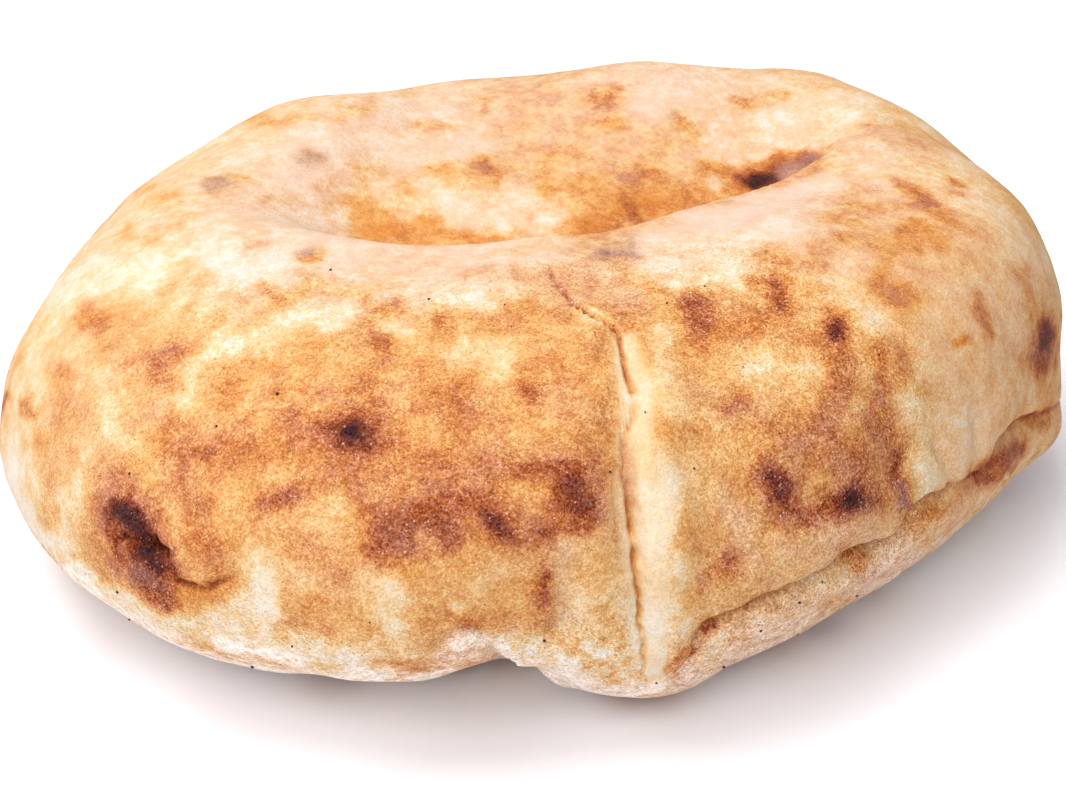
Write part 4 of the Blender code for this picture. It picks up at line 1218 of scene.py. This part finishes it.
def baked_crust():
    """Crust material: the bake picks a colour, then dust, ash, sandy grain and painted glints go over it.

    The grain is added as a grey on the colour's display values, so it is as strong on gold as on cream.
    """
    material, tree, shader = new_material("baked crust", CRUST_SPECULAR)
    place = tree.nodes.new("ShaderNodeTexCoord").outputs["Object"]
    read = {}
    for name in attributes:
        node = tree.nodes.new("ShaderNodeAttribute")
        node.attribute_name = name
        read[name] = node.outputs["Fac"]
    grains = BLOTCHES, MOTTLING, TINTS, FLOUR_CLOUDS, CRUMBS, SAND
    blotches, mottling, tints, clouds, crumbs, sand = (grain_of(tree, place, *grain) for grain in grains)

    patches = sum_of(
        tree, patches_of(tree, mottling, *MOTTLING_BAKE), patches_of(tree, crumbs, *CRUMBS_BAKE),
        product(tree, blotches, BLOTCHES_BAKE),
    )
    sandy = product(tree, sand, value_of(tree, "MULTIPLY_ADD", read["bake"], *SAND_BAKE))
    bake = sum_of(tree, read["bake"], product(tree, patches, read["mottle"]), sandy)
    ramp = tree.nodes.new("ShaderNodeValToRGB")
    steps = ramp.color_ramp.elements
    steps[0].position, steps[0].color = CRUST_STEPS[0][0], paint(CRUST_STEPS[0][1])
    steps[1].position, steps[1].color = CRUST_STEPS[-1][0], paint(CRUST_STEPS[-1][1])
    for position, colour in CRUST_STEPS[1:-1]:
        steps.new(position).color = paint(colour)
    tree.links.new(bake, ramp.inputs[0])
    colour = ramp.outputs["Color"]

    blush = sum_of(tree, read["blush"], product(tree, tints, read["mottle"], TINTS_BLUSH))
    blush = product(tree, blush, smooth_step(tree, read["bake"], *BURNT))
    ashy = product(tree, value_of(tree, "MULTIPLY_ADD", sand, *SAND_ASH), read["ash"])
    floury = product(tree, value_of(tree, "MULTIPLY_ADD", clouds, *CLOUDS_FLOUR), read["flour"])
    for share, over in (
        (product(tree, blush, DUST_SHARE), PINK_DUST), (product(tree, blush, OIL_SHARE), DEEP_ORANGE),
        (ashy, ASH_GREY), (floury, FLOUR_WITH_PAINTED_LIGHT),
    ):
        colour = mixed(tree, share, colour, paint(over))

    cells = [cells_of(tree, place, size) for size, _ in SPECKLES]
    lucky = cells[0][1]
    heights = [product(tree, cell, height) for (cell, _), (_, height) in zip(cells, SPECKLES)]
    speckle = product(tree, sum_of(tree, *heights, product(tree, sand, SAND_SPECKLE)), read["grain"])
    speckled = mixed(tree, 1, gamma_of(tree, colour, 1 / DISPLAY_GAMMA), speckle, "ADD")
    colour = gamma_of(tree, speckled, DISPLAY_GAMMA)
    painted_glints = product(
        tree, smooth_step(tree, lucky, *PAINTED_GLINT_CELLS), smooth_step(tree, read["bake"], *PAINTED_GLINT_BAKES),
        read["grain"], PAINTED_GLINT_SHARE,
    )
    pitted = product(tree, smooth_step(tree, lucky, *PIT_CELLS), read["grain"], PIT_SHARE)
    colour = mixed(tree, painted_glints, colour, paint(PAINTED_GLINT))
    tree.links.new(mixed(tree, pitted, colour, paint(PIT)), shader.inputs["Base Color"])

    gloss = smooth_step(tree, read["bake"], *GLOSS_BAKES)
    tree.links.new(value_of(tree, "MULTIPLY_ADD", gloss, *GLOSS_ROUGHNESS), shader.inputs["Roughness"])
    bump = tree.nodes.new("ShaderNodeBump")
    bump.inputs["Strength"].default_value = BUMP_STRENGTH
    bump.inputs["Distance"].default_value = BUMP_HEIGHT * MM
    tree.links.new(sum_of(tree, product(tree, crumbs, CRUMBS_BUMP), sand), bump.inputs["Height"])
    tree.links.new(bump.outputs["Normal"], shader.inputs["Normal"])
    return material


bread_mesh.materials.append(baked_crust())
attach(bread, "root")
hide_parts("flatbread")

# Specks of burnt flour
# Flour from the oven's floor burnt to black specks under a millimetre across, which stick to the crust
# here and there. Each is a squashed, dented ball half sunk into the skin. Places are photo pixels.
SPECK_PLACES = [
    (277, 395), (217, 427), (128, 475), (118, 592), (125, 621), (253, 665), (290, 646), (370, 622),
    (547, 641), (645, 412), (668, 305), (706, 287), (741, 367), (880, 354), (778, 435), (800, 602),
    (798, 634), (759, 630), (723, 667), (857, 597), (656, 682), (822, 583), (505, 305), (330, 270),
    (430, 300), (610, 470), (693, 470),
]
SPECK_SIZES = (0.14, 0.3)
SPECK_SUNK = 0.3
SPECK_DENTS = (0.7, 1.25)
SPECK_AROUND = 7
SPECK_UP = 4
SPECK_MISS_UNSEEN = 100
SOOT_BLACK = (0.055, 0.038, 0.030, 1)
SPECK_GRAIN = (0.5, 2)
SPECK_BROWNER = (-0.6, 0.8)
SPECK_ROUGHNESS = 0.9
SPECK_SPECULAR = 0.1

straight_place, _ = photo_place(skin)
speck_draw = np.random.default_rng(seed=9)
speck_points = []
turns = np.arange(SPECK_AROUND) / SPECK_AROUND * 2 * np.pi
turn, rise = np.meshgrid(turns, np.linspace(-1, 1, SPECK_UP + 2)[1:-1])
flat = np.sqrt(1 - rise ** 2)
ball = np.stack([np.cos(turn) * flat, np.sin(turn) * flat, rise], -1).reshape(-1, 3)
ball = np.vstack([ball, [[0, 0, -1], [0, 0, 1]]])
for pixel in SPECK_PLACES:
    miss = np.linalg.norm(straight_place - pixel, axis=1) + SPECK_MISS_UNSEEN * (1 - painted)
    spot = np.argmin(miss)
    radius = speck_draw.uniform(*SPECK_SIZES)
    dents = speck_draw.uniform(*SPECK_DENTS, (len(ball), 1))
    centre = skin[spot] + normals[spot] * radius * SPECK_SUNK
    speck_points.append(centre + ball * dents * radius)

first_points = np.arange(len(SPECK_PLACES))[:, None, None] * len(ball)
quads, caps = closed_grid(SPECK_UP, SPECK_AROUND)
specks_mesh = mesh_from(
    "burnt-flour-specks", np.vstack(speck_points),
    (quads + first_points).reshape(-1, 4), (caps + first_points).reshape(-1, 3),
)
specks = put_in_scene("burnt-flour-specks", specks_mesh)


def burnt_flour():
    """Black, dry, and a little browner in places, by a noise as fine as the specks."""
    material, tree, shader = new_material("burnt flour", SPECK_SPECULAR)
    place = tree.nodes.new("ShaderNodeTexCoord").outputs["Object"]
    patchy = smooth_step(tree, grain_of(tree, place, *SPECK_GRAIN), *SPECK_BROWNER)
    tree.links.new(mixed(tree, patchy, SOOT_BLACK, paint(CRUST_STEPS[-3][1])), shader.inputs["Base Color"])
    shader.inputs["Roughness"].default_value = SPECK_ROUGHNESS
    return material


specks_mesh.materials.append(burnt_flour())
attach(specks, "root")

# The table and the light
# A plain pale surface. A large soft light hangs above, a little behind and to the left, another
# fills in from the front left, and the white room is brightest overhead.
FLOOR_SIZE = 4000
FLOOR_COLOUR = (0.86, 0.855, 0.895, 1)
FLOOR_ROUGHNESS = 0.6
LIGHTS = [
    ("key light", (-320, 30, 1060), 650, 8.5),
    ("fill light", (-330, -720, 720), 820, 7.2),
]
LIGHT_AIM = Vector((0, 0, 30)) * MM
ROOM_STRENGTH = 0.32
ROOM_RISE = 0.42
ROOM_OVERHEAD = (0, 0.9)


def pale_floor():
    """Flat square at the level of the underside."""
    half = FLOOR_SIZE / 2
    corners = np.array([[-half, -half, 0], [half, -half, 0], [half, half, 0], [-half, half, 0]])
    mesh = mesh_from("floor", corners, np.array([[0, 1, 2, 3]]), np.zeros((0, 3), int))
    material, _, shader = new_material("pale floor")
    shader.inputs["Base Color"].default_value = FLOOR_COLOUR
    shader.inputs["Roughness"].default_value = FLOOR_ROUGHNESS
    mesh.materials.append(material)
    return put_in_scene("floor", mesh)


floor = pale_floor()

for name, light_place, size, power in LIGHTS:
    light = put_in_scene(name, bpy.data.lights.new(name, "AREA"))
    light.data.energy = power
    light.data.size = size * MM
    place_and_aim(light, Vector(light_place) * MM, LIGHT_AIM)

world = bpy.data.worlds.new("white room")
world.use_nodes = True
air = world.node_tree
air.nodes["Background"].inputs["Color"].default_value = (1, 1, 1, 1)
direction = air.nodes.new("ShaderNodeSeparateXYZ")
air.links.new(air.nodes.new("ShaderNodeTexCoord").outputs["Generated"], direction.inputs[0])
overhead = smooth_step(air, direction.outputs["Z"], *ROOM_OVERHEAD)
strength = value_of(air, "MULTIPLY_ADD", overhead, ROOM_RISE, ROOM_STRENGTH)
air.links.new(strength, air.nodes["Background"].inputs["Strength"])
bpy.context.scene.world = world
bpy.context.scene.view_settings.view_transform = "Standard"
